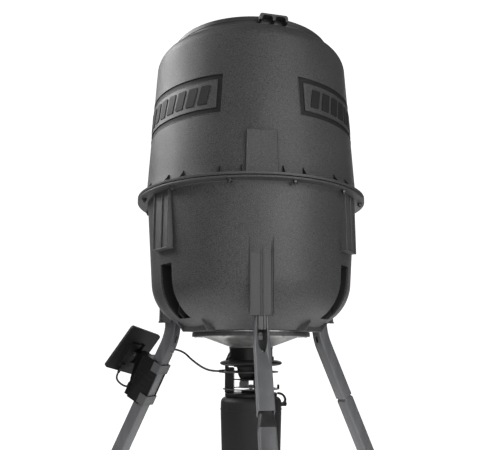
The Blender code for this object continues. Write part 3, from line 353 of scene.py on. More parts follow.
def fillet(before, corner, after, radius, count=5):
    """Points of the arc that rounds a corner between two straight runs."""
    corner = Vector(corner)
    first = (Vector(before) - corner).normalized()
    last = (Vector(after) - corner).normalized()
    half = first.angle(last) / 2
    middle = corner + (first + last).normalized() * radius / math.sin(half)
    start = corner + first * radius / math.tan(half) - middle
    swing = start.angle_signed(corner + last * radius / math.tan(half) - middle)
    return [tuple(middle + Matrix.Rotation(-swing * i / (count - 1), 2) @ start) for i in range(count)]


def rounded_path(points, radius, count=4, closed=True):
    """A polyline with every corner rounded. Radius is one number, or one for each corner, 0 to leave it sharp."""
    total = len(points)
    radii = radius if isinstance(radius, (list, tuple)) else [radius] * total
    out = []
    for i, point in enumerate(points):
        if radii[i] and (closed or 0 < i < total - 1):
            out += fillet(points[i - 1], point, points[(i + 1) % total], radii[i], count)
        else:
            out.append(point)
    return out


def lathe(profile, segments=128, closed=True, bm=None, start=0.0, sweep=360.0):
    """A turned surface about Z. The profile runs down the outer side; a radius of 0 is on the axis."""
    bm = bm or bmesh.new()
    full = abs(sweep - 360.0) < 1e-6
    count = segments if full else segments + 1
    rings = []
    for radius, height in profile:
        if radius < 1e-7:
            rings.append([bm.verts.new((0.0, 0.0, height))] * count)
            continue
        ring = []
        for i in range(count):
            a = math.radians(start + sweep * i / segments)
            ring.append(bm.verts.new((radius * math.cos(a), radius * math.sin(a), height)))
        rings.append(ring)
    pairs = list(zip(rings, rings[1:])) + ([(rings[-1], rings[0])] if closed else [])
    for upper, lower in pairs:
        for i in range(segments):
            j = (i + 1) % count
            corners = []
            for vert in (upper[i], lower[i], lower[j], upper[j]):
                if vert not in corners:
                    corners.append(vert)
            if len(corners) > 2:
                bm.faces.new(corners)
    if closed and not full:
        bm.faces.new([ring[0] for ring in reversed(rings)])
        bm.faces.new([ring[-1] for ring in rings])
    return bm


def slab(outline, half, bm=None, matrix=None):
    """A flat outline in XY thickened by half to each side along Z."""
    bm = bm or bmesh.new()
    matrix = matrix or Matrix()
    low = [bm.verts.new(matrix @ Vector((x, y, -half))) for x, y in outline]
    high = [bm.verts.new(matrix @ Vector((x, y, half))) for x, y in outline]
    area = sum(a[0] * b[1] - b[0] * a[1] for a, b in zip(outline, outline[1:] + outline[:1]))
    made = [bm.faces.new(low), bm.faces.new(list(reversed(high)))]
    for i in range(len(outline)):
        j = (i + 1) % len(outline)
        made.append(bm.faces.new((low[i], high[i], high[j], low[j])))
    if area > 0:
        bmesh.ops.reverse_faces(bm, faces=made)
    return bm


def block(low, high, bm=None, matrix=None, divide=0):
    """A box between two corners. The divide argument is not used."""
    bm = bm or bmesh.new()
    size = Vector(high) - Vector(low)
    middle = (Vector(high) + Vector(low)) / 2
    made = bmesh.ops.create_cube(bm, size=1.0)["verts"]
    place = (matrix or Matrix()) @ Matrix.Translation(middle) @ Matrix.Diagonal((*size, 1.0))
    bmesh.ops.transform(bm, matrix=place, verts=made)
    return bm


def bar(radius, start, end, bm=None, matrix=None, sides=32, tip=None):
    """A round bar along Z between two heights."""
    bm = bm or bmesh.new()
    move = (matrix or Matrix()) @ Matrix.Translation((0.0, 0.0, (start + end) / 2))
    bmesh.ops.create_cone(bm, cap_ends=True, segments=sides, radius1=radius, radius2=radius if tip is None else tip,
                          depth=abs(end - start), matrix=move)
    return bm


def temporary(bm):
    mesh = bpy.data.meshes.new("temporary")
    bmesh.ops.recalc_face_normals(bm, faces=bm.faces)
    bm.to_mesh(mesh)
    bm.free()
    obj = bpy.data.objects.new("temporary", mesh)
    bpy.context.scene.collection.objects.link(obj)
    return obj


def combine(bm, others, operation="DIFFERENCE"):
    """The result of Booleans on mesh data, as a new bmesh."""
    base = temporary(bm)
    tools = [temporary(other) for other in others]
    for tool in tools:
        step = base.modifiers.new("Boolean", "BOOLEAN")
        step.operation = operation
        step.object = tool
        step.solver = "EXACT"
    bpy.context.view_layer.update()
    graph = bpy.context.evaluated_depsgraph_get()
    result = bmesh.new()
    result.from_mesh(base.evaluated_get(graph).to_mesh())
    for obj in (base, *tools):
        bpy.data.objects.remove(obj, do_unlink=True)
    bmesh.ops.remove_doubles(result, verts=result.verts, dist=0.000002)
    return result


def wrapped(bm, height, radius_at):
    """Bends a flat relief, drawn as (tangent, height, proud), round the barrel so that it follows the wall."""
    for vert in bm.verts:
        s, z, proud = vert.co
        radius = radius_at(z + height)
        a = s / radius
        vert.co = ((radius + proud) * math.cos(a), (radius + proud) * math.sin(a), z + height)
    return bm


def grid_slab(outlines_s, outlines_z, keep, low, high):
    """A flat grid of cells thickened from low to high; keep says which cells are filled."""
    bm = bmesh.new()
    verts = {}

    def vert(i, j, top):
        key = (i, j, top)
        if key not in verts:
            verts[key] = bm.verts.new((outlines_s[i], outlines_z[j], high if top else low))
        return verts[key]

    filled = {(i, j) for i in range(len(outlines_s) - 1) for j in range(len(outlines_z) - 1) if keep(i, j)}
    for i, j in filled:
        bm.faces.new((vert(i, j, 1), vert(i + 1, j, 1), vert(i + 1, j + 1, 1), vert(i, j + 1, 1)))
        bm.faces.new((vert(i, j + 1, 0), vert(i + 1, j + 1, 0), vert(i + 1, j, 0), vert(i, j, 0)))
        for di, dj, a, b in ((-1, 0, (i, j + 1), (i, j)), (1, 0, (i + 1, j), (i + 1, j + 1)),
                             (0, -1, (i, j), (i + 1, j)), (0, 1, (i + 1, j + 1), (i, j + 1))):
            if (i + di, j + dj) not in filled:
                bm.faces.new((vert(*a, 0), vert(*b, 0), vert(*b, 1), vert(*a, 1)))
    return bm


# ---------------------------------------------------------------- cords
def smooth_route(corners, spacing):
    """Evenly spaced points on the smooth curve inside a polyline, which leaves both ends straight."""
    fine = [Vector(p) for p in corners]
    for _ in range(6):
        inner = []
        for p, q in zip(fine, fine[1:]):
            inner += [p.lerp(q, 0.25), p.lerp(q, 0.75)]
        fine = [fine[0], *inner[1:-1], fine[-1]]
    length = sum((q - p).length for p, q in zip(fine, fine[1:]))
    count = round(length / spacing)
    route = [fine[0]]
    walked = 0.0
    for p, q in zip(fine, fine[1:]):
        step = (q - p).length
        while len(route) < count and walked + step >= length * len(route) / count:
            route.append(p.lerp(q, (length * len(route) / count - walked) / step))
        walked += step
    route.append(fine[-1])
    return [AXIS @ p for p in route]


def tube_along(route, radius, sides=16):
    """A round tube through points in the row's frame, with caps."""
    bm = bmesh.new()
    up = Vector((0.0, 0.0, 1.0))
    rings = []
    normal = None
    for i, point in enumerate(route):
        ahead = route[min(i + 1, len(route) - 1)] - route[max(i - 1, 0)]
        ahead.normalize()
        if normal is None:
            normal = ahead.cross(up).normalized()
        normal = (normal - ahead * normal.dot(ahead)).normalized()
        side = ahead.cross(normal)
        rings.append([bm.verts.new(point + (normal * math.cos(2 * math.pi * k / sides)
                                            + side * math.sin(2 * math.pi * k / sides)) * radius)
                      for k in range(sides)])
    for first, second in zip(rings, rings[1:]):
        for k in range(sides):
            m = (k + 1) % sides
            bm.faces.new((first[k], first[m], second[m], second[k]))
    bm.faces.new(list(reversed(rings[0])))
    bm.faces.new(rings[-1])
    bmesh.ops.recalc_face_normals(bm, faces=bm.faces)
    return bm


def cords():
    side = -0.0245
    start = [(0.0108, side, 0.0095), (0.0108, side, 0.0660), (-0.0300, -0.0270, 0.0800)]
    corners = [CLAMP @ Vector(p) for p in start] + [Vector((-0.1349, 0.0917, -0.0568))]
    corners += [GLAND @ Vector((0.0, 0.0, 0.0600)), GLAND @ Vector((0.0, 0.0, 0.0065))]
    route = smooth_route(corners, 0.003)
    main = piece("charging_cable", tube_along(route, 0.0025), JACKET, "stand", AXIS.inverted(),
                 ("main_cable",), angle=60.0)
    to_tray = TILT @ Matrix.Translation((0.0057, 0.0236, 0.0))
    to_arm = SWIVEL @ Matrix.Rotation(math.radians(-40.0), 4, "Z") @ Matrix.Translation((0.0168, 0.0, 0.0))
    corners = [to_tray @ Vector((0.0, 0.0, h)) for h in (-0.0475, -0.0850)]
    corners += [to_arm @ Vector((0.0, 0.0, h)) for h in (-0.0740, -0.0305)]
    route = smooth_route(corners, 0.002)
    lead = piece("panel_flex", tube_along(route, 0.0025), JACKET, "arm", AXIS.inverted(),
                 ("panel_lead",), angle=60.0)
    lead.parent = None
    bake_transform(lead)


cords()


# ---------------------------------------------------------------- upper barrel
UPPER_FOOT = (0.2535, FLANGE_TOP)
UPPER_TOP = (0.2362, 0.645)


def upper_radius(z):
    """Outer radius of the upper barrel's straight wall at a height."""
    share = (z - UPPER_FOOT[1]) / (UPPER_TOP[1] - UPPER_FOOT[1])
    return UPPER_FOOT[0] + (UPPER_TOP[0] - UPPER_FOOT[0]) * share


def upper_barrel():
    shoulder = fillet((0.190, 0.6870), (0.2355, 0.6867), UPPER_TOP, 0.044, 16)
    wall = [(upper_radius(z), z) for z in (0.640, 0.600, 0.560, 0.520, 0.480, 0.440, 0.400, 0.360)]
    outer = [(0.1785, 0.7015), (0.1800, 0.7007), (0.1800, 0.6895), (0.1806, 0.6879), (0.1826, 0.6870), *shoulder,
             *wall, *fillet((upper_radius(0.36), 0.36), UPPER_FOOT, (0.27, FLANGE_TOP), 0.004, 5),
             (0.2690, FLANGE_TOP), (0.2698, FLANGE_TOP + 0.0016), (0.2706, FLANGE_TOP + 0.0022),
             (0.2722, FLANGE_TOP + 0.0022), (0.2730, FLANGE_TOP + 0.0014),
             *fillet((0.273, 0.318), (0.273, 0.3155), (0.26, 0.3155), 0.0010, 3)]
    inner = [(0.2497, 0.3155), (0.2497, 0.3195), (0.2480, 0.360), (0.2320, 0.645), (0.2235, 0.667), (0.2040, 0.6815),
             (0.1760, 0.6828), (0.1760, 0.7015)]
    skin = lathe(outer + inner, 180)
    grooves = [panel_groove(azimuth) for azimuth in (60.0, -60.0, 180.0)]
    shell = combine(skin, grooves)
    # Faces sunk into the panel grooves get the darker barrel copy: painted shade in the recess.
    for face in shell.faces:
        middle = face.calc_center_median()
        sunk = upper_radius(middle.z) - math.hypot(middle.x, middle.y)
        if PANEL_Z[0] < middle.z < PANEL_Z[1] and 0.0009 < sunk < 0.0024:
            face.material_index = 1
    barrel = piece("barrel_upper", shell, BODY, "stand", None, ("upper_hopper",), angle=28.0)
    barrel.data.materials.append(BODY_PAINTED_SHADE.material)


PANEL_HALF = math.radians(40.0) * 0.2430
PANEL_Z = (0.462, 0.551)
BORDER = 0.0115


def spread(low, high, count):
    return [low + (high - low) * i / count for i in range(count + 1)]


def panel_groove(azimuth):
    """Sunk band that frames a decorative panel."""
    s = [-PANEL_HALF, *spread(-PANEL_HALF + BORDER, PANEL_HALF - BORDER, 40), PANEL_HALF]
    z = [PANEL_Z[0] - 0.5065, *spread(PANEL_Z[0] - 0.5065 + BORDER, PANEL_Z[1] - 0.5065 - BORDER, 3), PANEL_Z[1] - 0.5065]
    last = len(s) - 2
    bm = grid_slab(s, z, lambda i, j: i in (0, last) or j in (0, len(z) - 2), -0.0016, 0.0100)
    bm = wrapped(bm, 0.5065, upper_radius)
    bm.transform(turn(azimuth))
    return bm


def panel_relief():
    """Tread-like slanted bars in each framed panel, and the panel's slightly raised lips."""
    bars = bmesh.new()
    lips = bmesh.new()
    for azimuth in (60.0, -60.0, 180.0):
        count = 9
        pitch = (2 * PANEL_HALF - 2 * BORDER - 0.030) / count
        for k in range(count):
            centre = -PANEL_HALF + BORDER + 0.015 + pitch * (k + 0.5)
            wide = pitch * 0.36
            lean = 0.0045
            outline = rounded_path([(centre - wide - lean, -0.0215), (centre + wide - lean, -0.0215),
                                    (centre + wide + lean, 0.0215), (centre - wide + lean, 0.0215)], 0.0025, 3)
            one = slab(outline, 0.0010, None, Matrix.Translation((0.0, 0.0, 0.0006)))
            one = wrapped(one, 0.5065, upper_radius)
            one.transform(turn(azimuth))
            join_into(bars, one)
        for inset, width in ((-0.0016, 0.0016), (BORDER, 0.0013)):
            edge = PANEL_HALF - inset
            top = (PANEL_Z[1] - PANEL_Z[0]) / 2 - inset
            s = [-edge, *spread(-edge + width, edge - width, 40), edge]
            z = [-top, -top + width, top - width, top]
            last = len(s) - 2
            ring = grid_slab(s, z, lambda i, j: i in (0, last) or j in (0, 2), -0.0010, 0.0007)
            ring = wrapped(ring, 0.5065, upper_radius)
            ring.transform(turn(azimuth))
            join_into(lips, ring)
    # The raised bars take the darker barrel copy: painted shade, so the relief reads dark.
    piece("panel_bars", bars, BODY_PAINTED_SHADE, "stand", None, bevel=0.0004, steps=2)
    piece("panel_lips", lips, BODY, "stand", None, bevel=0.0003, steps=2)


def join_into(target, source):
    mesh = bpy.data.meshes.new("joined")
    source.to_mesh(mesh)
    source.free()
    target.from_mesh(mesh)
    bpy.data.meshes.remove(mesh)


def upper_details():
    gussets = bmesh.new()
    outline = [(0.2470, FLANGE_TOP - 0.0010), (0.2695, FLANGE_TOP - 0.0010), (0.2695, FLANGE_TOP + 0.0008),
               (0.2560, FLANGE_TOP + 0.0170), (0.2540, FLANGE_TOP + 0.0215), (0.2470, FLANGE_TOP + 0.0215)]
    for azimuth in BOLTS:
        for side in (-5.2, 5.2):
            slab(outline, 0.0011, gussets, radial(azimuth + side))
    # The fins take the darker barrel copy: painted shade on their shaded faces.
    piece("flange_gussets", gussets, BODY_PAINTED_SHADE, "stand", None, bevel=0.0005)
    bosses = bmesh.new()
    for azimuth in LEGS.values():
        outline = [(-0.0345, FLANGE_TOP - 0.001), (0.0345, FLANGE_TOP - 0.001), (0.0322, 0.4165), (-0.0322, 0.4165)]
        slab(outline, 0.0075, bosses, facing(azimuth, 0.2495))
        for side in (-1, 1):
            rib = [(side * 0.0345, FLANGE_TOP - 0.001), (side * 0.0345 - side * 0.0024, FLANGE_TOP - 0.001),
                   (side * 0.0322 - side * 0.0024, 0.4165), (side * 0.0322, 0.4165)]
            slab(rib if side < 0 else list(reversed(rib)), 0.0080, bosses, facing(azimuth, 0.2500))
    piece("leg_bosses", bosses, BODY, "stand", None, bevel=0.0016, steps=3)
    marks = bmesh.new()
    for shift in (-0.010, 0.012):
        for low, high in (((-0.0045, -0.005), (-0.0035, 0.005)), ((0.0035, -0.005), (0.0045, 0.005)),
                          ((-0.0045, 0.004), (0.0045, 0.005)), ((-0.0045, -0.005), (0.0045, -0.004))):
            block((shift + low[0], low[1], -0.0006), (shift + high[0], high[1], 0.0004), marks)
    marks = wrapped(marks, 0.648, upper_radius)
    marks.transform(turn(8.7))
    piece("twist_marks", marks, BODY, "stand", None)


# ---------------------------------------------------------------- lower barrel
LOWER_TOP = (0.2490, 0.3100)
LOWER_CORNER = (0.2298, 0.0652)


def lower_radius(z):
    """Outer radius of the lower barrel's straight wall at a height."""
    share = (z - LOWER_TOP[1]) / (LOWER_CORNER[1] - LOWER_TOP[1])
    return LOWER_TOP[0] + (LOWER_CORNER[0] - LOWER_TOP[0]) * share


def lower_outer():
    corner = fillet(LOWER_TOP, LOWER_CORNER, (0.146, 0.011), 0.105, 26)
    walls = [(lower_radius(z), z) for z in (0.280, 0.250, 0.220, 0.190, 0.160, 0.135)]
    lip = fillet((0.26, FLANGE_LOW), (LOWER_TOP[0], FLANGE_LOW), (lower_radius(0.28), 0.28), 0.003, 4)
    return [*lip, *walls, *corner, (0.1470, 0.0117), (0.1455, 0.0110), (0.1260, 0.0110)]


def pocket(grow):
    return [(0.285, 0.1505 + grow), (0.205 - grow, 0.1505 + grow), (0.200 - grow, 0.090), (0.176 - grow, 0.060),
            (0.152 - grow, 0.036 - grow), (0.285, 0.036 - grow)]


def lower_barrel():
    outer = lower_outer()
    flange = [*fillet((0.26, 0.3139), (0.273, 0.3139), (0.273, FLANGE_LOW), 0.0010, 3),
              *fillet((0.273, 0.312), (0.273, FLANGE_LOW), (0.26, FLANGE_LOW), 0.0014, 4)]
    inner = [(0.1260, 0.0150), (0.1450, 0.0152), *[(r - 0.0040, z + 0.0012) for r, z in reversed(outer[4:-3])],
             (0.2450, 0.3139)]
    skin = lathe([*flange, *outer, *inner], 180)
    cuts = [slab(pocket(0.0), 0.0225, None, radial(a)) for a in GRIPS]
    piece("barrel_lower", combine(skin, cuts), BODY, "stand", None, ("lower_hopper",), angle=28.0,
          bevel=0.0008, steps=2, weighted=False)
    for number, azimuth in enumerate(GRIPS):
        liner = combine(slab(pocket(0.0028), 0.0252, None, radial(azimuth)), [slab(pocket(0.0), 0.0226, None, radial(azimuth))])
        liner = combine(liner, [lathe([(0.0, 0.300), (0.2450, 0.300), *[(r - 0.0008, z) for r, z in outer[4:-1]],
                                       (0.0, 0.011)], 120, closed=False)], "INTERSECT")
        # The pocket liners take the darker barrel copy: painted shade inside the grip pockets.
        piece(f"slot_liner_{number}", liner, BODY_PAINTED_SHADE, "stand", None)
    ribs = bmesh.new()
    rims = bmesh.new()
    for azimuth in GRIPS:
        slab([(0.196, 0.0900), (0.150, 0.0350), (0.186, 0.0350), (0.2000, 0.0480)], 0.0014, ribs, radial(azimuth))
    # The pocket ribs take the same painted shade.
    piece("slot_ribs", ribs, BODY_PAINTED_SHADE, "stand", None, bevel=0.0005)
    rims.free()


def lower_details():
    pads = bmesh.new()
    top = FLANGE_LOW - 0.0003
    for azimuth in GRIPS:
        block((0.2300, -0.0290, 0.1830), (0.2502, 0.0290, top), pads, turn(azimuth))
        block((0.2300, -0.0310, 0.1800), (0.2528, 0.0310, 0.1832), pads, turn(azimuth))
        for side in (-0.0290, 0.0040, 0.0290):
            block((0.2380, side - 0.0021, 0.1805), (0.2530, side + 0.0021, top), pads, turn(azimuth))
    piece("grip_pads", pads, BODY, "stand", None, bevel=0.0008)
    columns = bmesh.new()
    for azimuth in LEGS.values():
        block((0.2050, -0.0238, 0.0360), (0.2370, 0.0238, 0.1600), columns, turn(azimuth))
        for side, outer, high in ((-0.0238, 0.2398, 0.194), (-0.0020, 0.2386, 0.178), (0.0022, 0.2384, 0.172),
                                  (0.0202, 0.2390, 0.182), (0.0238, 0.2398, 0.194)):
            block((0.2330, side - 0.0008, 0.0356), (outer, side + 0.0008, high), columns, turn(azimuth))
        for side in (-0.0235, 0.0235):
            block((0.2300, side - 0.0030, 0.0352), (0.2404, side + 0.0030, 0.0395), columns, turn(azimuth))
    piece("leg_columns", columns, BODY, "stand", None, bevel=0.0005)
    tongues = bmesh.new()
    for azimuth in LEGS.values():
        block((0.2275, -0.0088, 0.0080), (0.2318, 0.0088, 0.0460), tongues, turn(azimuth))
        for side in (-0.0050, 0.0050):
            bar(0.0024, 0.0082, 0.0460, tongues, turn(azimuth) @ Matrix.Translation((0.2318, side, 0.0)), 16)
    piece("leg_tongues", tongues, STRAP, "stand", None, bevel=0.0006)
    floor_pads = bmesh.new()
    for azimuth in GRIPS:
        block((0.1385, -0.0500, 0.0090), (0.1575, 0.0500, 0.0240), floor_pads, turn(azimuth))
        for side in (-0.0485, 0.0485):
            slab([(0.1560, 0.0100), (0.1580, 0.0100), (0.1740, 0.0300), (0.1560, 0.0300)], 0.0015, floor_pads,
                 radial(azimuth) @ Matrix.Translation((0.0, 0.0, side)))
    piece("floor_pads", floor_pads, BODY, "stand", None, bevel=0.0007)


def bolts():
    """Hex bolts with washers, nuts and a thread end."""
    made = bmesh.new()
    for azimuth in BOLTS:
        at = turn(azimuth) @ Matrix.Translation((0.262, 0.0, 0.0))
        bar(0.0030, FLANGE_LOW - 0.0092, FLANGE_TOP + 0.0030, made, at, 24)
        for k in range(6):
            height = FLANGE_LOW - 0.0088 + k * 0.0005
            bar(0.0033, height, height + 0.0003, made, at, 24)
        bar(0.0066, FLANGE_TOP + 0.0002, FLANGE_TOP + 0.0010, made, at, 32)
        bar(0.0056, FLANGE_TOP + 0.0010, FLANGE_TOP + 0.0040, made, at, 6)
        bar(0.0046, FLANGE_TOP + 0.0040, FLANGE_TOP + 0.0046, made, at, 6, tip=0.0038)
        bar(0.0066, FLANGE_LOW - 0.0014, FLANGE_LOW - 0.0004, made, at, 32)
        bar(0.0055, FLANGE_LOW - 0.0060, FLANGE_LOW - 0.0014, made, at @ Matrix.Rotation(0.4 * azimuth, 4, "Z"), 6)
    piece("flange_bolts", made, BOLT_ZINC, "stand", None, [f"flange_bolt_{k:02d}" for k in range(1, 13)],
          bevel=0.0002, steps=1)


# ---------------------------------------------------------------- lid
def lid():
    profile = [(0.0, 0.7155), (0.030, 0.7154), (0.060, 0.7150), (0.090, 0.7145), (0.120, 0.7138), (0.145, 0.7130),
               (0.165, 0.7120), (0.1700, 0.7114), (0.1715, 0.7101), (0.1740, 0.7099), (0.1755, 0.7110), (0.1880, 0.7107),
               (0.1930, 0.7104), (0.1956, 0.7095), (0.1968, 0.7080), (0.1970, 0.7062), (0.1970, 0.6990), (0.1962, 0.6984),
               (0.1962, 0.6966), (0.1970, 0.6960), (0.1970, 0.6918), (0.1965, 0.6910), (0.1945, 0.6910), (0.1940, 0.6918),
               (0.1940, 0.7057), (0.0, 0.7057)]
    top = lathe(profile, 160, closed=False)
    piece("lid_cap", top, BODY_SMOOTH, "lid", None, ("lid",), angle=28.0)
    ribs = bmesh.new()
    for k in range(12):
        outline = [(0.062, 0.7140), (0.160, 0.7110), (0.160, 0.7130), (0.158, 0.7136), (0.064, 0.7155), (0.062, 0.7152)]
        slab(outline, 0.0016, ribs, radial(30.0 * k + 8.7))
    piece("lid_ribs", ribs, BODY, "lid", None, bevel=0.0005)
    outline = [(-0.0330, 0.6915), *arc((-0.0270, 0.7010), 0.0060, 180, 90, 6), *arc((0.0270, 0.7010), 0.0060, 90, 0, 6),
               (0.0330, 0.6915)]
    grip = slab(outline, 0.0088, None, facing(8.7, 0.2063))
    windows = []
    for side in (-0.0150, 0.0150):
        hole = [(side - 0.0115, 0.6800), (side + 0.0115, 0.6800), *arc((side + 0.0055, 0.6965), 0.006, 0, 90, 6),
                *arc((side - 0.0055, 0.6965), 0.006, 90, 180, 6)]
        windows.append(slab(hole, 0.020, None, facing(8.7, 0.2060)))
    corners = []
    for side in (-1, 1):
        at = turn(8.7) @ Matrix.Translation((0.2063, side * 0.0330, 0.0)) @ Matrix.Rotation(math.radians(45.0), 4, "Z")
        corners.append(block((0.0072, -0.02, 0.68), (0.03, 0.02, 0.72), None,
                             turn(8.7) @ Matrix.Translation((0.2063, side * 0.0330, 0.0))
                             @ Matrix.Rotation(math.radians(side * 45.0), 4, "Z")))
    grip = combine(grip, [*windows, *corners, bar(0.1965, 0.68, 0.73, None, None, 160)])
    piece("lid_lug", grip, BODY_SMOOTH, "lid", None, ("lid_grip",), bevel=0.0009, steps=3)
    seal = lathe(rounded_path([(0.184, 0.7053), (0.184, 0.7018), (0.1735, 0.7018), (0.1735, 0.7053)], 0.0008, 3), 128)
    piece("lid_seal", seal, RUBBER, "lid_seat", None, ("lid_gasket",))


# ---------------------------------------------------------------- funnel and base
def base():
    ring = rounded_path([(0.1375, 0.0078), (0.1375, -0.0010), (0.1185, -0.0010), (0.1185, 0.0078)], 0.0008, 3)
    piece("base_ring", lathe(ring, 144), BODY, "stand", None, ("base_plate",))
    cone = [(0.1365, 0.0099), (0.1365, 0.0081), (0.1180, 0.0081), (0.1168, 0.0076), (0.1165, 0.0004), (0.1150, -0.0006),
            *[(0.1150 + (0.0512 - 0.1150) * t, -0.0006 + (-0.0232 + 0.0006) * t) for t in (0.25, 0.5, 0.75, 1.0)],
            (0.0505, -0.0240), (0.0512, -0.0247), (0.0516, -0.0258), (0.0512, -0.0270), (0.0503, -0.0277), (0.0503, -0.0540),
            (0.0488, -0.0540), (0.0488, -0.0235), (0.1150, 0.0009), (0.1150, 0.0099)]
    sheet = lathe(cone, 144)
    for face in sheet.faces:
        if face.calc_center_median().z < -0.0262:
            face.material_index = 1
    funnel = piece("funnel_sheet", sheet, SHEET, "stand", None, ("funnel",))
    funnel.data.materials.append(KIT.material)
    screws = bmesh.new()
    for k in range(6):
        at = turn(28.0 + 60.0 * k) @ Matrix.Translation((0.1290, 0.0, 0.0))
        bar(0.0036, -0.0022, -0.0011, screws, at, 20, tip=0.0036)
        bar(0.0020, -0.0028, -0.0020, screws, at, 6)
    piece("base_screws", screws, STEEL, "stand", None, bevel=0.0002)


# ---------------------------------------------------------------- legs
def ring_outline(half, corner, count=4):
    """A square outline with rounded corners."""
    points = []
    for k, (sx, sy) in enumerate(((1, 1), (-1, 1), (-1, -1), (1, -1))):
        centre = (sx * (half - corner), sy * (half - corner))
        points += arc(centre, corner, 90 * k, 90 * k + 90, count)
    return points


def tube(stations, wall=0.0014):
    """A square tube through (x, z, lean, half depth, half width, corner) stations, open at both ends."""
    bm = bmesh.new()
    rings = []
    for shift in (0.0, wall):
        run = []
        for x, z, lean, deep, wide, corner in stations:
            outline = ring_outline(1.0, min(0.99, (corner - shift) / (deep - shift)))
            run.append([bm.verts.new((x + a * (deep - shift) * math.cos(lean), b * (wide - shift),
                                      z + a * (deep - shift) * math.sin(lean))) for a, b in outline])
        rings.append(run)
    outer, inner = rings
    count = len(outer[0])
    for k in range(len(stations) - 1):
        for i in range(count):
            j = (i + 1) % count
            bm.faces.new((outer[k][i], outer[k + 1][i], outer[k + 1][j], outer[k][j]))
            bm.faces.new((inner[k][j], inner[k + 1][j], inner[k + 1][i], inner[k][i]))
    for k, flip in ((0, False), (len(stations) - 1, True)):
        for i in range(count):
            j = (i + 1) % count
            corners = (outer[k][j], inner[k][j], inner[k][i], outer[k][i])
            bm.faces.new(tuple(reversed(corners)) if flip else corners)
    bmesh.ops.recalc_face_normals(bm, faces=bm.faces)
    return bm


JOINTS = (-0.146, -0.571)
CORNER = 0.0042


def pinched(z):
    """Half width of the upper tube, which is drawn in where the notch weakens it."""
    share = min(1.0, max(0.0, (z + 0.032) / 0.075))
    return 0.016 - 0.0026 * share * share * (3.0 - 2.0 * share)


def upper_stations():
    half = 0.016
    bend = 0.13
    meet = (LEG_LINE_R - SOCKET_R) / LEG_SLOPE
    high = meet + bend * math.tan(LEG_TILT / 2)
    stations = [(SOCKET_R, 0.182, 0.0, half, pinched(0.182), CORNER), (SOCKET_R, 0.075, 0.0, half, pinched(0.075), CORNER)]
    for i in range(17):
        lean = LEG_TILT * i / 16
        z = high - bend * math.sin(lean)
        stations.append((SOCKET_R + bend * (1 - math.cos(lean)), z, lean, half, pinched(z), CORNER))
    end = (LEG_LINE_R - LEG_SLOPE * JOINTS[0], JOINTS[0])
    for share in (0.4, 1.0):
        x = stations[-1][0] + (end[0] - stations[-1][0]) * share
        z = stations[-1][1] + (end[1] - stations[-1][1]) * share
        stations.append((x, z, LEG_TILT, half, pinched(z), CORNER))
    return stations


def legs():
    half = 0.016
    for name, azimuth in LEGS.items():
        notch = [(-0.0098, 0.200), (-0.0098, -0.0040), *[(-0.0098 * math.cos(a), -0.0040 - 0.0325 * math.sin(a))
                                                         for a in [math.radians(10 * k) for k in range(1, 18)]],
                 (0.0098, -0.0040), (0.0098, 0.200)]
        window = [*arc((0.0, 0.000), 0.004, 0, 180, 8), *arc((0.0, -0.010), 0.004, 180, 360, 8)]
        leg = tube(upper_stations())
        leg.transform(turn(azimuth))
        leg = combine(leg, [slab(notch, 0.0185, None, facing(azimuth, SOCKET_R + 0.0285)),
                            slab(window, 0.0100, None, facing(azimuth, SOCKET_R - 0.0155))])
        piece("leg_upper_" + name, leg, PAINT, "stand", None, ("upper_leg_" + name,), bevel=0.0004,
              weighted=False)
        ends = (JOINTS[1], -(BASE_HEIGHT - 0.010 - 0.014))
        for label, node, top, end in zip(("leg_middle_", "leg_lower_"), ("middle_leg_", "lower_leg_"), JOINTS, ends):
            length = (top - end) / math.cos(LEG_TILT)
            neck = half - 0.0022
            run = [(0.0, 0.055, 0.0, neck, neck, 0.0075), (0.0, -0.0010, 0.0, neck, neck, 0.0075)]
            swage = 0.0290 if name == "front" else 0.0080
            for k in range(1, 9):
                t = k / 8
                ease = t * t * (3.0 - 2.0 * t)
                wide = neck + (half - neck) * ease
                run.append((0.0, -0.0010 - swage * t, 0.0, wide, wide, 0.0075 + (CORNER - 0.0075) * ease))
            run.append((0.0, -length, 0.0, half, half, CORNER))
            shape = tube(run)
            # On the front leg only, the neck faces take the near-black painted shade; the side legs keep the plain
            # paint.
            for face in shape.faces:
                if name == "front" and -0.0285 < face.calc_center_median().z:
                    face.material_index = 1
            obj = piece(label + name, shape, PAINT, "stand", leg_frame(azimuth, top), (node + name,),
                        bevel=0.0003, weighted=False)
            obj.data.materials.append(PAINT_NECK_SHADE.material)
        inner = Matrix.Translation((-half + 0.0014, 0.0, 0.0)) @ Matrix.Rotation(math.radians(90.0), 4, "Y")
        at = leg_frame(azimuth, -0.0290) @ inner
        screw = bar(0.0024, -0.0080, 0.0010, None, at, 24)
        bar(0.0052, 0.0003, 0.0030, screw, at, 28, tip=0.0044)
        screw = combine(screw, [block((-0.006, -0.0007, 0.0020), (0.006, 0.0007, 0.0044), None, at),
                                block((-0.0007, -0.006, 0.0020), (0.0007, 0.006, 0.0044), None, at)])
        piece("tapping_screw_" + name, screw, BRIGHT, "stand", None, ("leg_screw_" + name,), bevel=0.0002)


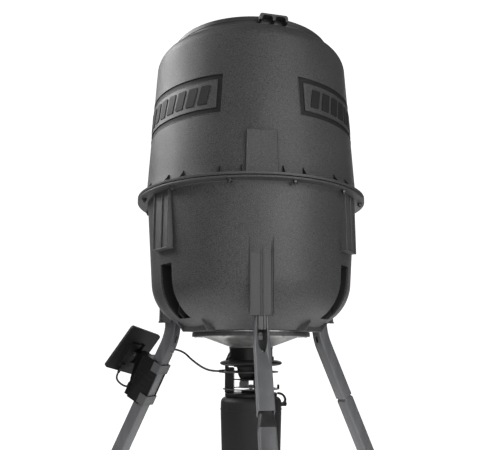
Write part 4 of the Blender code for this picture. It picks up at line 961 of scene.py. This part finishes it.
def feet():
    for name, azimuth in LEGS.items():
        ground = -BASE_HEIGHT
        at = turn(azimuth) @ Matrix.Translation((FOOT_R, 0.0, 0.0))
        pad = lathe([(0.0, ground + 0.0125), (0.0250, ground + 0.0125), (0.0300, ground + 0.0110), (0.0330, ground + 0.0085),
                     (0.0340, ground + 0.0060), (0.0340, ground + 0.0012), (0.0328, ground), (0.0, ground)], 48, closed=False)
        pad.transform(at)
        frame_here = leg_frame(azimuth, ground + 0.010)
        outer = 0.0195
        sleeve = block((-outer, -outer, -0.006), (outer, outer, 0.045), None, frame_here)
        below = block((0.0, -0.2, ground - 0.1), (1.5, 0.2, ground + 0.004), None, turn(azimuth))
        hollow = block((-0.0163, -0.0163, 0.0148), (0.0163, 0.0163, 0.060), None, frame_here)
        sleeve = combine(sleeve, [below, hollow])
        join_into(pad, sleeve)
        for height in (0.020, 0.030, 0.040):
            ring = combine(block((-outer - 0.0008, -outer - 0.0008, height - 0.0012),
                                 (outer + 0.0008, outer + 0.0008, height + 0.0012), None, frame_here),
                           [block((-outer + 0.001, -outer + 0.001, height - 0.01), (outer - 0.001, outer - 0.001, height + 0.01),
                                  None, frame_here)])
            join_into(pad, ring)
        piece("rubber_foot_" + name, pad, RUBBER, "stand", None, ("foot_" + name,), bevel=0.0006)


# ---------------------------------------------------------------- spinner kit
POSTS = (14.0, 134.0, -106.0)


def ring_of(outer, inner, top, low, rounding, segments=96):
    return lathe(rounded_path([(outer, top), (outer, low), (inner, low), (inner, top)], rounding, 4), segments)


def kit():
    lens = [(0.0535, -0.0455), (0.0535, -0.0530), (0.0540, -0.0537)]
    lens += [(0.0540 + 0.0182 * math.sin(a), -0.0602 + 0.0064 * math.cos(a)) for a in [math.radians(8 * k) for k in range(1, 23)]]
    lens += [(0.0535, -0.0666), (0.0470, -0.0666), (0.0470, -0.0547), (0.0508, -0.0545), (0.0508, -0.0455)]
    notches = [block((0.0542, -0.0080, -0.08), (0.09, 0.0080, -0.04), None, turn(a)) for a in POSTS]
    piece("funnel_collar", combine(lathe(lens, 120), notches), KIT, "stand", None, ("kit_collar",),
          bevel=0.0004, weighted=False)
    bowl = [(0.0400, -0.0673), (0.0400, -0.0692), (0.0334, -0.0698), (0.0318, -0.0740), (0.0310, -0.0800), (0.0302, -0.0850),
            (0.0284, -0.0900), (0.0262, -0.0938), (0.0240, -0.0962), (0.0226, -0.0972), (0.0216, -0.0970), (0.0218, -0.0955),
            (0.0250, -0.0915), (0.0282, -0.0850), (0.0296, -0.0780), (0.0300, -0.0673)]
    piece("drop_chute", lathe(bowl, 96), KIT, "stand", None, ("kit_chute",))
    deck = lathe([(0.0036, -0.1195), (0.0060, -0.1193), (0.0120, -0.1196), (0.0190, -0.1205), (0.0215, -0.1218), (0.0226, -0.1240),
                  (0.0232, -0.1265), (0.0570, -0.1265), (0.0590, -0.1268), (0.0600, -0.1278), (0.0600, -0.1340), (0.0036, -0.1340)], 96)
    post = [(0.0512, -0.0360), (0.0595, -0.0540), (0.0595, -0.1285), (0.0405, -0.1285), (0.0405, -0.0700), (0.0545, -0.0700),
            (0.0545, -0.0452), (0.0512, -0.0448)]
    for azimuth in POSTS:
        slab(rounded_path(post, [0.0, 0.004, 0.0, 0.0, 0.004, 0.0, 0.0, 0.0], 5), 0.0075, deck, radial(azimuth))
        for side in (-0.0064, 0.0064):
            slab([(0.0590, -0.0560), (0.0605, -0.0580), (0.0605, -0.1260), (0.0590, -0.1270)], 0.0010, deck,
                 radial(azimuth) @ Matrix.Translation((0.0, 0.0, side)))
        block((0.0285, -0.0015, -0.0990), (0.0430, 0.0015, -0.0962), deck, turn(azimuth))
    block((0.0600, -0.0050, -0.1185), (0.0655, 0.0050, -0.1085), deck, turn(82.0))
    piece("kit_deck", deck, KIT, "stand", None, ("kit_frame",), bevel=0.0006)
    gap = block((0.0590, -0.0072, -0.0860), (0.0700, 0.0072, -0.0740), None, turn(-106.0))
    rings = combine(ring_of(0.0635, 0.0540, -0.0785, -0.0818, 0.0012), [gap])
    join_into(rings, ring_of(0.0655, 0.0560, -0.1168, -0.1190, 0.0009))
    join_into(rings, ring_of(0.0300, 0.0272, -0.0962, -0.0990, 0.0008, 64))
    piece("guard_rings", rings, KIT_LIGHTER, "stand", None)
    gland = lathe([(0.0027, -0.0068), (0.0046, -0.0068), (0.0046, 0.0020), (0.0040, 0.0024), (0.0044, 0.0032), (0.0044, 0.0052),
                   (0.0039, 0.0057), (0.0042, 0.0065), (0.0042, 0.0085), (0.0037, 0.0090), (0.0040, 0.0098), (0.0040, 0.0118),
                   (0.0035, 0.0123), (0.0038, 0.0131), (0.0037, 0.0155), (0.0034, 0.0200), (0.0027, 0.0200)], 36)
    gland.transform(GLAND)
    gland = combine(gland, [block((0.0400, -0.0200, -0.0950), (0.0596, 0.0200, -0.0600), None, turn(-106.0))])
    piece("cable_relief", gland, RUBBER, "stand", None, ("cable_gland",))


def spinner():
    middle = Matrix.Translation((0.0, 0.0, -0.1152))
    disc = lathe(rounded_path([(0.0385, 0.0012), (0.0385, 0.0), (0.0036, 0.0), (0.0036, 0.0012)], [0.0005, 0.0005, 0.0, 0.0], 3), 96)
    for k in range(4):
        outline = rounded_path([(0.0075, 0.0008), (0.0375, 0.0008), (0.0375, 0.0125), (0.0330, 0.0160), (0.0075, 0.0160)],
                               [0.0, 0.0, 0.0015, 0.0015, 0.0020], 4)
        at = radial(39.6 + 90.0 * k)
        slab(outline, 0.0006, disc, at)
        block((0.0100, 0.0010, -0.0006), (0.0350, 0.0020, 0.0060), disc, at)
    piece("spinner_disc", disc, SHEET, "spinner", middle, ("spinner_plate",), bevel=0.0003)
    shaft = bar(0.0030, -0.0187, 0.0050, None, None, 32)
    bar(0.0055, -0.0030, -0.0003, shaft, None, 36)
    bar(0.0060, 0.0015, 0.0056, shaft, None, 6)
    bar(0.0040, 0.0050, 0.0066, shaft, None, 24, tip=0.0034)
    piece("spinner_hub", shaft, STEEL, "spinner", middle, ("motor_shaft",), bevel=0.0004)
    can = lathe([(0.0036, -0.1346), (0.0172, -0.1346), (0.0180, -0.1349), (0.0185, -0.1356), (0.0185, -0.1480), (0.0182, -0.1484),
                 (0.0182, -0.1492), (0.0185, -0.1496), (0.0185, -0.1840), (0.0182, -0.1855), (0.0172, -0.1863), (0.0080, -0.1865),
                 (0.0080, -0.1896), (0.0074, -0.1900), (0.0036, -0.1900)], 64)
    piece("motor_can", can, STEEL, "stand", None, ("motor",))


# ---------------------------------------------------------------- canister
DOOR_HALF = 0.036
DOOR_Z = (-0.305, -0.190)
DOOR_AT = (Matrix.Rotation(math.radians(360.0), 4, "Z") @ Matrix.Translation((-DOOR_HALF - 0.0010, 0.0615, 0.0)))
LATCH = (0.0772, -0.1508)


def canister_skin():
    outer = [(0.0520, -0.1345), (0.0570, -0.1346), *arc((0.0565, -0.1480), 0.0130, 84, 8, 14), (0.0695, -0.1560), (0.0695, -0.1700)]
    outer += [(0.0695 + (0.0640 - 0.0695) * t, -0.1700 - 0.1500 * t) for t in (0.25, 0.5, 0.75, 1.0)]
    outer += [(0.0637, -0.3235), (0.0630, -0.3262), (0.0615, -0.3285), (0.0595, -0.3298), (0.0560, -0.3300), (0.0, -0.3300)]
    inner = [(0.0, -0.3275), (0.0560, -0.3275), (0.0595, -0.3262), (0.0612, -0.3200), (0.0670, -0.1700), (0.0670, -0.1560),
             (0.0655, -0.1450), (0.0600, -0.1385), (0.0520, -0.1372)]
    return lathe(outer + inner, 128, closed=False), outer


def close_mouth(bm):
    edges = [edge for edge in bm.edges if edge.is_boundary]
    bmesh.ops.bridge_loops(bm, edges=edges)
    bmesh.ops.recalc_face_normals(bm, faces=bm.faces)
    return bm


def canister():
    skin, outer = canister_skin()
    skin = close_mouth(skin)
    opening = block((0.040, -DOOR_HALF, DOOR_Z[0]), (0.090, DOOR_HALF, DOOR_Z[1]), None, turn(180.0))
    body = combine(skin, [opening])
    piece("canister_body", body, CANISTER, "stand", None, ("canister",), bevel=0.0004, weighted=False)
    trims = bmesh.new()
    for low, high, grow in ((-0.1640, -0.1605, 0.0007), (-0.3180, -0.3150, 0.0006)):
        def at(z):
            return 0.0695 if z > -0.17 else 0.0695 + (0.0640 - 0.0695) * (-0.17 - z) / 0.15
        join_into(trims, lathe(rounded_path([(at(high) + grow, high), (at(low) + grow, low), (at(low) - 0.001, low),
                                             (at(high) - 0.001, high)], 0.0004, 3), 128))
    piece("canister_bands", combine(trims, [block((0.040, -DOOR_HALF, DOOR_Z[0]), (0.090, DOOR_HALF, DOOR_Z[1]), None, turn(180.0))]),
          CANISTER, "stand", None)
    fittings = bmesh.new()
    for side in (-0.0095, 0.0095):
        outline = [(0.0655, -0.1560), (0.0800, -0.1560), *arc(LATCH, 0.0045, 0, 150, 10), (0.0655, -0.1500)]
        slab(outline, 0.0015, fittings, radial(86.0) @ Matrix.Translation((0.0, 0.0, side)))
    for low, high in ((DOOR_Z[0] - 0.0065, DOOR_Z[0] - 0.0005), (DOOR_Z[1] + 0.0005, DOOR_Z[1] + 0.0065)):
        block((-0.0040, -0.0110, low), (0.0032, 0.0032, high), fittings, DOOR_AT)
    holes = [bar(0.0016, DOOR_Z[0] - 0.0090, DOOR_Z[1] + 0.0090, None, DOOR_AT, 24),
             bar(0.0019, -0.0150, 0.0150, None, radial(86.0) @ Matrix.Translation((*LATCH, 0.0)), 24)]
    piece("canister_lugs", combine(fittings, holes), CANISTER, "stand", None, bevel=0.0005)
    pin = bar(0.0013, DOOR_Z[0] - 0.0070, DOOR_Z[1] + 0.0070, None, DOOR_AT, 24)
    bar(0.0022, DOOR_Z[1] + 0.0066, DOOR_Z[1] + 0.0080, pin, DOOR_AT, 24, tip=0.0016)
    piece("hinge_pin", pin, STEEL, "stand", None, ("door_pin",), bevel=0.0002)
    clear = 0.0006
    low, high = DOOR_Z[0] + clear, DOOR_Z[1] - clear
    wall = close_mouth(canister_skin()[0])
    blank = block((0.0010 + clear, -0.030, low), (2 * DOOR_HALF + 0.0010 - clear, 0.030, high), None, DOOR_AT)
    leaf = combine(wall, [blank], "INTERSECT")
    frame_mark = block((0.0120, -0.0300, low + 0.010), (2 * DOOR_HALF - 0.010, 0.030, low + 0.0118), None, DOOR_AT)
    hinge = block((0.0, -0.0030, low), (0.0100, 0.0005, high), None, DOOR_AT)
    bar(0.0030, low, high, hinge, DOOR_AT, 32)
    hinge = combine(hinge, [bar(0.0016, low - 0.01, high + 0.01, None, DOOR_AT, 24)])
    frame_mark.free()
    join_into(leaf, hinge)
    for height in (-0.2150, -0.2230, -0.2310):
        rib = block((0.0300, -0.0040, height - 0.0010), (0.0440, 0.0045, height + 0.0010), None, DOOR_AT)
        join_into(leaf, rib)
    piece("canister_hatch", leaf, CANISTER, "door", None, ("canister_door",), bevel=0.0004, weighted=False)
    points = [(0.0606, -0.1255), *arc((0.0640, -0.1430), 0.0170, 90, 8, 16), *arc(LATCH, 0.0036, 20, -200, 14),
              *arc((0.0640, -0.1430), 0.0120, 0, 82, 14), (0.0606, -0.1300)]
    strap = slab(points, 0.0070, None, radial(86.0))
    bar(0.0016, -0.0107, 0.0107, strap, radial(86.0) @ Matrix.Translation((*LATCH, 0.0)), 24)
    for spread_at in (-0.0045, 0.0, 0.0045):
        slab([(0.0780, -0.1350), (0.0803, -0.1380), (0.0815, -0.1430), (0.0795, -0.1430)], 0.0009, strap,
             radial(86.0) @ Matrix.Translation((0.0, 0.0, spread_at)))
    piece("latch_strap", strap, KIT, "latch", None, ("canister_latch",), bevel=0.0006)


def controls():
    at = turn(180.0)
    module = block((0.0405, -0.029, -0.290), (0.0520, 0.029, -0.205), None, at)
    cuts = [block((0.0508, -0.021, -0.240), (0.060, 0.021, -0.214), None, at)]
    for side in (-0.016, 0.0, 0.016):
        cuts.append(block((0.0480, side - 0.0056, -0.2666), (0.060, side + 0.0056, -0.2574), None, at))
    piece("timer_housing", combine(module, cuts), KIT, "stand", None, ("timer_module",), bevel=0.0007)
    screen = block((0.0500, -0.0205, -0.2395), (0.0511, 0.0205, -0.2145), None, at)
    piece("timer_screen", screen, CELLS, "stand", None, bevel=0.0003)
    for number, side in enumerate((-0.016, 0.0, 0.016), 1):
        button = block((0.0505, side - 0.005, -0.266), (0.0538, side + 0.005, -0.258), None, at)
        piece(f"push_button_{number}", button, RUBBER, f"button_{number}", None, (f"timer_button_{number}",),
              bevel=0.0012, steps=4)
    battery = block((-0.0330, -0.0410, -0.3240), (0.0330, 0.0250, -0.2220))
    piece("lantern_battery", battery, BATTERY, "stand", None, ("battery",), bevel=0.0035, steps=4)
    posts = lathe([(0.0, -0.2140), (0.0030, -0.2141), (0.0044, -0.2150), (0.0050, -0.2165), (0.0058, -0.2190), (0.0060, -0.2222),
                   (0.0, -0.2222)], 32, closed=False)
    posts.transform(Matrix.Translation((0.012, -0.020, 0.0)))
    piece("battery_spring", posts, STEEL, "stand", None)


# ---------------------------------------------------------------- clamp and solar panel
UPRIGHT = Matrix.Rotation(math.radians(90.0), 4, "X")


def clamp():
    half = 0.0163
    saddle = block((-0.002, -0.0205, -0.078), (0.0360, 0.0205, 0.036), None, CLAMP)
    parts = [block((-0.0165, -0.0205, -0.0495), (0.004, 0.0205, 0.0095), None, CLAMP)]
    for low, high in ((0.0265, 0.0350), (-0.0610, -0.0525)):
        outline = [(0.030, -0.0095), (0.050, -0.0095), *arc((0.050, 0.0), 0.0095, -80, 80, 16), (0.050, 0.0095), (0.030, 0.0095)]
        parts.append(slab(outline, (high - low) / 2, None, CLAMP @ Matrix.Translation((0.0, 0.0, (low + high) / 2))))
    parts.append(block((0.0340, -0.0120, -0.078), (0.0520, 0.0120, -0.0625), None, CLAMP))
    parts.append(block((0.0048, -0.0290, 0.0020), (0.0168, -0.0200, 0.0160), None, CLAMP))
    saddle = combine(saddle, parts, "UNION")
    channel = block((-0.050, -half, -0.10), (half, half, 0.10), None, CLAMP)
    body = combine(saddle, [channel, block((0.0375, -0.0060, -0.0735), (0.0530, 0.0060, -0.0680), None, CLAMP)])
    piece("clamp_saddle", body, KIT, "stand", None, ("leg_clamp",), bevel=0.0011, steps=3)
    relief = lathe([(0.0027, 0.0150), (0.0046, 0.0150), (0.0044, 0.0190), (0.0039, 0.0195), (0.0043, 0.0203), (0.0042, 0.0223),
                    (0.0037, 0.0228), (0.0041, 0.0236), (0.0040, 0.0256), (0.0035, 0.0261), (0.0039, 0.0269), (0.0036, 0.0360),
                    (0.0027, 0.0360)], 32)
    relief.transform(CLAMP @ Matrix.Translation((0.0108, -0.0245, 0.0)))
    piece("clamp_relief", relief, RUBBER, "stand", None)
    ribs = bmesh.new()
    for height in (-0.034, -0.020, -0.006):
        block((-0.0120, -0.0214, height - 0.0012), (0.0300, 0.0214, height + 0.0012), ribs, CLAMP)
    ribs = combine(ribs, [block((-0.050, -0.0200, -0.10), (half, 0.0200, 0.10), None, CLAMP)])
    piece("clamp_ribs", ribs, KIT, "stand", None, bevel=0.0004)
    for name, height in (("upper", 0.022), ("lower", -0.062)):
        at = CLAMP @ Matrix.Translation((0.0, 0.0, height))
        outline = [(0.0040, -0.0230), (-0.0192, -0.0230), (-0.0192, 0.0230), (0.0040, 0.0230), (0.0040, 0.0210),
                   (-0.0168, 0.0210), (-0.0168, -0.0210), (0.0040, -0.0210)]
        outline = rounded_path(outline, [0.0, 0.0028, 0.0028, 0.0, 0.0, 0.0008, 0.0008, 0.0], 5)
        band = slab(outline, 0.0120, None, at)
        for edge in (-0.0107, 0.0107):
            block((-0.0196, -0.0180, edge - 0.0012), (-0.0186, 0.0180, edge + 0.0012), band, at)
        piece("strap_" + name + "_band", band, STRAP, "stand", None, ("strap_" + name,), bevel=0.0005)


def arm():
    shaft = bar(0.0078, -0.0521, 0.0261, None, None, 48)
    outline = [(0.0, -0.0450), (0.0060, -0.0450), (0.0180, 0.0060), *arc((0.0225, 0.018), 0.0090, -60, 110, 16), (0.0, 0.0240)]
    entry = Matrix.Rotation(math.radians(-40.0), 4, "Z")
    parts = [slab(outline, 0.0060, None, UPRIGHT), block((0.0020, -0.0048, -0.0370), (0.0216, 0.0048, -0.0220), None, entry)]
    body = combine(shaft, parts, "UNION")
    eye = bar(0.0029, -0.03, 0.03, None, Matrix.Translation((0.0225, 0.0, 0.018)) @ UPRIGHT, 32)
    body = combine(body, [eye])
    for side in (-1, 1):
        rim = [(0.0050, -0.0400), (0.0062, -0.0420), (0.0172, 0.0020), (0.0155, 0.0030)]
        slab(rim, 0.0006, body, UPRIGHT @ Matrix.Translation((0.0, 0.0, side * 0.0062)))
    piece("swivel_arm", body, KIT, "arm", SWIVEL, ("panel_arm",), bevel=0.0008, steps=3)
    relief = lathe([(0.0027, -0.0500), (0.0035, -0.0500), (0.0038, -0.0455), (0.0035, -0.0450), (0.0039, -0.0442), (0.0041, -0.0422),
                    (0.0037, -0.0417), (0.0042, -0.0409), (0.0044, -0.0389), (0.0040, -0.0384), (0.0046, -0.0376), (0.0046, -0.0362),
                    (0.0027, -0.0362)], 32)
    relief.transform(entry @ Matrix.Translation((0.0168, 0.0, 0.0)))
    piece("arm_relief", relief, RUBBER, "arm", SWIVEL)
    at = Matrix.Translation((0.0225, 0.0, 0.018)) @ UPRIGHT
    screw = bar(0.0025, -0.0140, 0.0135, None, at, 24)
    head = bar(0.0048, -0.0160, -0.0123, None, at, 40)
    head = combine(head, [block((-0.0070, -0.0006, -0.0170), (0.0070, 0.0006, -0.0149), None, at)])
    join_into(screw, head)
    bar(0.0044, 0.0122, 0.0146, screw, at, 6)
    piece("tilt_screw_head", screw, STEEL, "arm", SWIVEL, ("tilt_screw",), bevel=0.0004)


def panel():
    wide, tall, across, back, thick = 0.100, 0.125, 0.011, 0.0105, 0.008
    front = back + thick
    middle = Matrix.Translation((0.0, across, 0.0))
    roll = middle @ Matrix.Rotation(math.radians(6.3), 4, "X") @ middle.inverted()
    plane = roll @ Matrix(((0, 0, 1, 0), (1, 0, 0, across), (0, 1, 0, 0), (0, 0, 0, 1)))
    corners = [(-wide / 2, -tall / 2), (wide / 2, -tall / 2), (wide / 2, tall / 2), (-wide / 2, tall / 2)]
    inner = [(x * (wide / 2 - 0.005) / (wide / 2), y * (tall / 2 - 0.005) / (tall / 2)) for x, y in corners]
    level = Matrix.Translation((0.0, 0.0, (back + front) / 2))
    tray = slab(rounded_path(corners, 0.0065, 8), thick / 2, None, plane @ level)
    seat = slab(rounded_path(inner, 0.0030, 5), 0.0070, None, plane @ Matrix.Translation((0.0, 0.0, front + 0.0040)))
    housing = slab(rounded_path([(-0.026, -0.046), (0.022, -0.046), (0.022, 0.024), (-0.026, 0.024)], 0.006, 6), 0.0032, None,
                   Matrix(((0, 0, 1, 0), (1, 0, 0, across), (0, 1, 0, 0), (0, 0, 0, 1)))
                   @ Matrix.Translation((0.0, 0.0, back - 0.0018)))
    groove = block((0.0, -0.0064, -0.030), (back - 0.0002, 0.0064, 0.030))
    exit_block = block((back - 0.0095, 0.0236 - 0.0055, -0.0520), (back + 0.001, 0.0236 + 0.0055, -0.0360))
    body = combine(combine(tray, [housing, exit_block], "UNION"), [seat, groove])
    ears = bmesh.new()
    for side in (-0.0092, 0.0092):
        outline = [(back + 0.001, -0.0100), (back + 0.001, 0.0100), *arc((0.0, 0.0), 0.0065, 60, 300, 20)]
        slab(outline, 0.0027, ears, Matrix.Translation((0.0, side, 0.0)) @ UPRIGHT)
    ears = combine(ears, [bar(0.0029, -0.02, 0.02, None, UPRIGHT, 32)])
    join_into(body, ears)
    piece("panel_tray", body, KIT, "panel", TILT, ("solar_tray",), bevel=0.0008, steps=3)
    relief = lathe([(0.0027, -0.0635), (0.0034, -0.0635), (0.0037, -0.0590), (0.0034, -0.0585), (0.0038, -0.0577), (0.0040, -0.0557),
                    (0.0037, -0.0552), (0.0042, -0.0544), (0.0045, -0.0524), (0.0045, -0.0512), (0.0027, -0.0512)], 32)
    relief.transform(Matrix.Translation((0.0057, 0.0236, 0.0)))
    piece("tray_relief", relief, RUBBER, "panel", TILT)
    glass = slab(rounded_path([(x * 0.993, y * 0.995) for x, y in inner], 0.0028, 5), 0.00125, None,
                 plane @ Matrix.Translation((0.0, 0.0, front - 0.00145)))
    piece("panel_glass", glass, CELLS, "panel", TILT, ("solar_cell",), bevel=0.0003)
    cells = bmesh.new()
    lines = bmesh.new()
    rows, columns = 6, 2
    cell_w, cell_h = (wide - 0.014) / columns, (tall - 0.016) / rows
    for i in range(columns):
        for j in range(rows):
            x = -wide / 2 + 0.007 + cell_w * (i + 0.5)
            y = -tall / 2 + 0.008 + cell_h * (j + 0.5)
            outline = rounded_path([(x - cell_w / 2 + 0.0007, y - cell_h / 2 + 0.0007), (x + cell_w / 2 - 0.0007, y - cell_h / 2 + 0.0007),
                                    (x + cell_w / 2 - 0.0007, y + cell_h / 2 - 0.0007), (x - cell_w / 2 + 0.0007, y + cell_h / 2 - 0.0007)],
                                   0.0010, 3)
            slab(outline, 0.00010, cells, plane @ Matrix.Translation((0.0, 0.0, front - 0.00015)))
            for shift in (-0.25, 0.25):
                mid = y + shift * cell_h
                slab([(x - cell_w / 2 + 0.0010, mid - 0.0003), (x + cell_w / 2 - 0.0010, mid - 0.0003),
                      (x + cell_w / 2 - 0.0010, mid + 0.0003), (x - cell_w / 2 + 0.0010, mid + 0.0003)], 0.00006, lines,
                     plane @ Matrix.Translation((0.0, 0.0, front - 0.00004)))
    piece("panel_cells", cells, CELLS, "panel", TILT, bevel=0.00004, steps=1)
    piece("cell_bars", lines, BARS, "panel", TILT)


def seals():
    seal = lathe(rounded_path([(0.2578, 0.3152), (0.2578, 0.3142), (0.2505, 0.3142), (0.2505, 0.3152)], 0.0004, 3), 144)
    piece("flange_seal", seal, RUBBER, "stand", None, ("flange_gasket",))


upper_barrel()
panel_relief()
upper_details()
lower_barrel()
lower_details()
bolts()
lid()
base()
legs()
feet()
kit()
spinner()
canister()
controls()
clamp()
arm()
panel()
seals()

# ---------------------------------------------------------------- remaining CAD nodes
FINISH = {
    "rubber": RUBBER, "zinc_steel": STEEL, "galvanised_steel": SHEET, "leg_paint": PAINT, "kit_plastic": KIT,
    "canister_plastic": CANISTER, "battery_case": BATTERY, "solar_cell": CELLS, "strap_plastic": STRAP,
    "cable_jacket": JACKET, "barrel_plastic": BODY}
slot_of = {row["node"]: row["material_slot"] for row in frame["record"]["subparts"]}
for name, node in frame["nodes"].items():
    if node.hide_render:
        continue
    shader = FINISH[slot_of[name]]
    if not node.data.materials:
        node.data.materials.append(shader.material)
    for material_slot in node.material_slots:
        material_slot.material = shader.material


# ---------------------------------------------------------------- stage and lights
def stage():
    """A pale studio floor that sweeps up into a round pale wall."""
    wall = [(6.0 + 3.0 * math.sin(a), 3.0 - 3.0 * math.cos(a)) for a in [math.radians(6 * k) for k in range(0, 16)]]
    bm = lathe([(0.0, 0.0), *wall, (9.0, 14.0), (0.0, 18.0)], 96, closed=False)
    for face in bm.faces:
        face.normal_flip()
    mesh = bpy.data.meshes.new("studio_sweep")
    bm.to_mesh(mesh)
    bm.free()
    mesh.shade_smooth()
    sweep = bpy.data.objects.new("studio_sweep", mesh)
    bpy.context.scene.collection.objects.link(sweep)
    paper = bpy.data.materials.new("paper")
    paper.use_nodes = True
    shader = paper.node_tree.nodes["Principled BSDF"]
    shader.inputs["Base Color"].default_value = (0.90, 0.90, 0.90, 1.0)
    shader.inputs["Roughness"].default_value = 0.9
    shader.inputs["Emission Color"].default_value = (1.0, 1.0, 1.0, 1.0)
    shader.inputs["Emission Strength"].default_value = 1.0
    mesh.materials.append(paper)
    sweep.visible_diffuse = False
    sweep.visible_glossy = False
    sweep.visible_shadow = False


def light(name, azimuth, distance, height, target, radiance, size):
    """A soft box at an azimuth and distance from the barrel's axis, with its brightness for a white of 1."""
    data = bpy.data.lights.new(name, "AREA")
    data.shape = "RECTANGLE"
    data.size, data.size_y = size
    data.energy = radiance * math.pi * size[0] * size[1]
    obj = bpy.data.objects.new(name, data)
    bpy.context.scene.collection.objects.link(obj)
    place = Matrix.Translation((0.0, AXIS_Y, 0.0)) @ turn(azimuth) @ Vector((distance, 0.0, height))
    obj.location = place
    aim = Vector((0.0, AXIS_Y, target)) - place
    obj.rotation_euler = aim.to_track_quat("-Z", "Y").to_euler()
    obj.visible_camera = False
    return obj


stage()
light("softbox_left", -106.0, 2.8, 3.35, 1.45, 6.8, (3.0, 2.2))
light("softbox_front", 30.0, 3.0, 1.75, 1.25, 4.0, (2.2, 2.6))
light("softbox_fill", -16.0, 3.4, 1.3, 1.2, 2.0, (1.6, 2.0))
light("backdrop_glow", 172.0, 4.0, 1.9, 1.3, 1.3, (4.4, 3.6))
light("floor_glow", 0.0, 0.02, 0.02, 1.0, 1.3, (3.4, 3.4))
world = bpy.data.worlds.new("world")
bpy.context.scene.world = world
world.use_nodes = True
world.node_tree.nodes["Background"].inputs["Color"].default_value = (1.0, 1.0, 1.0, 1.0)
world.node_tree.nodes["Background"].inputs["Strength"].default_value = 0.11
bpy.context.scene.view_settings.view_transform = "Standard"
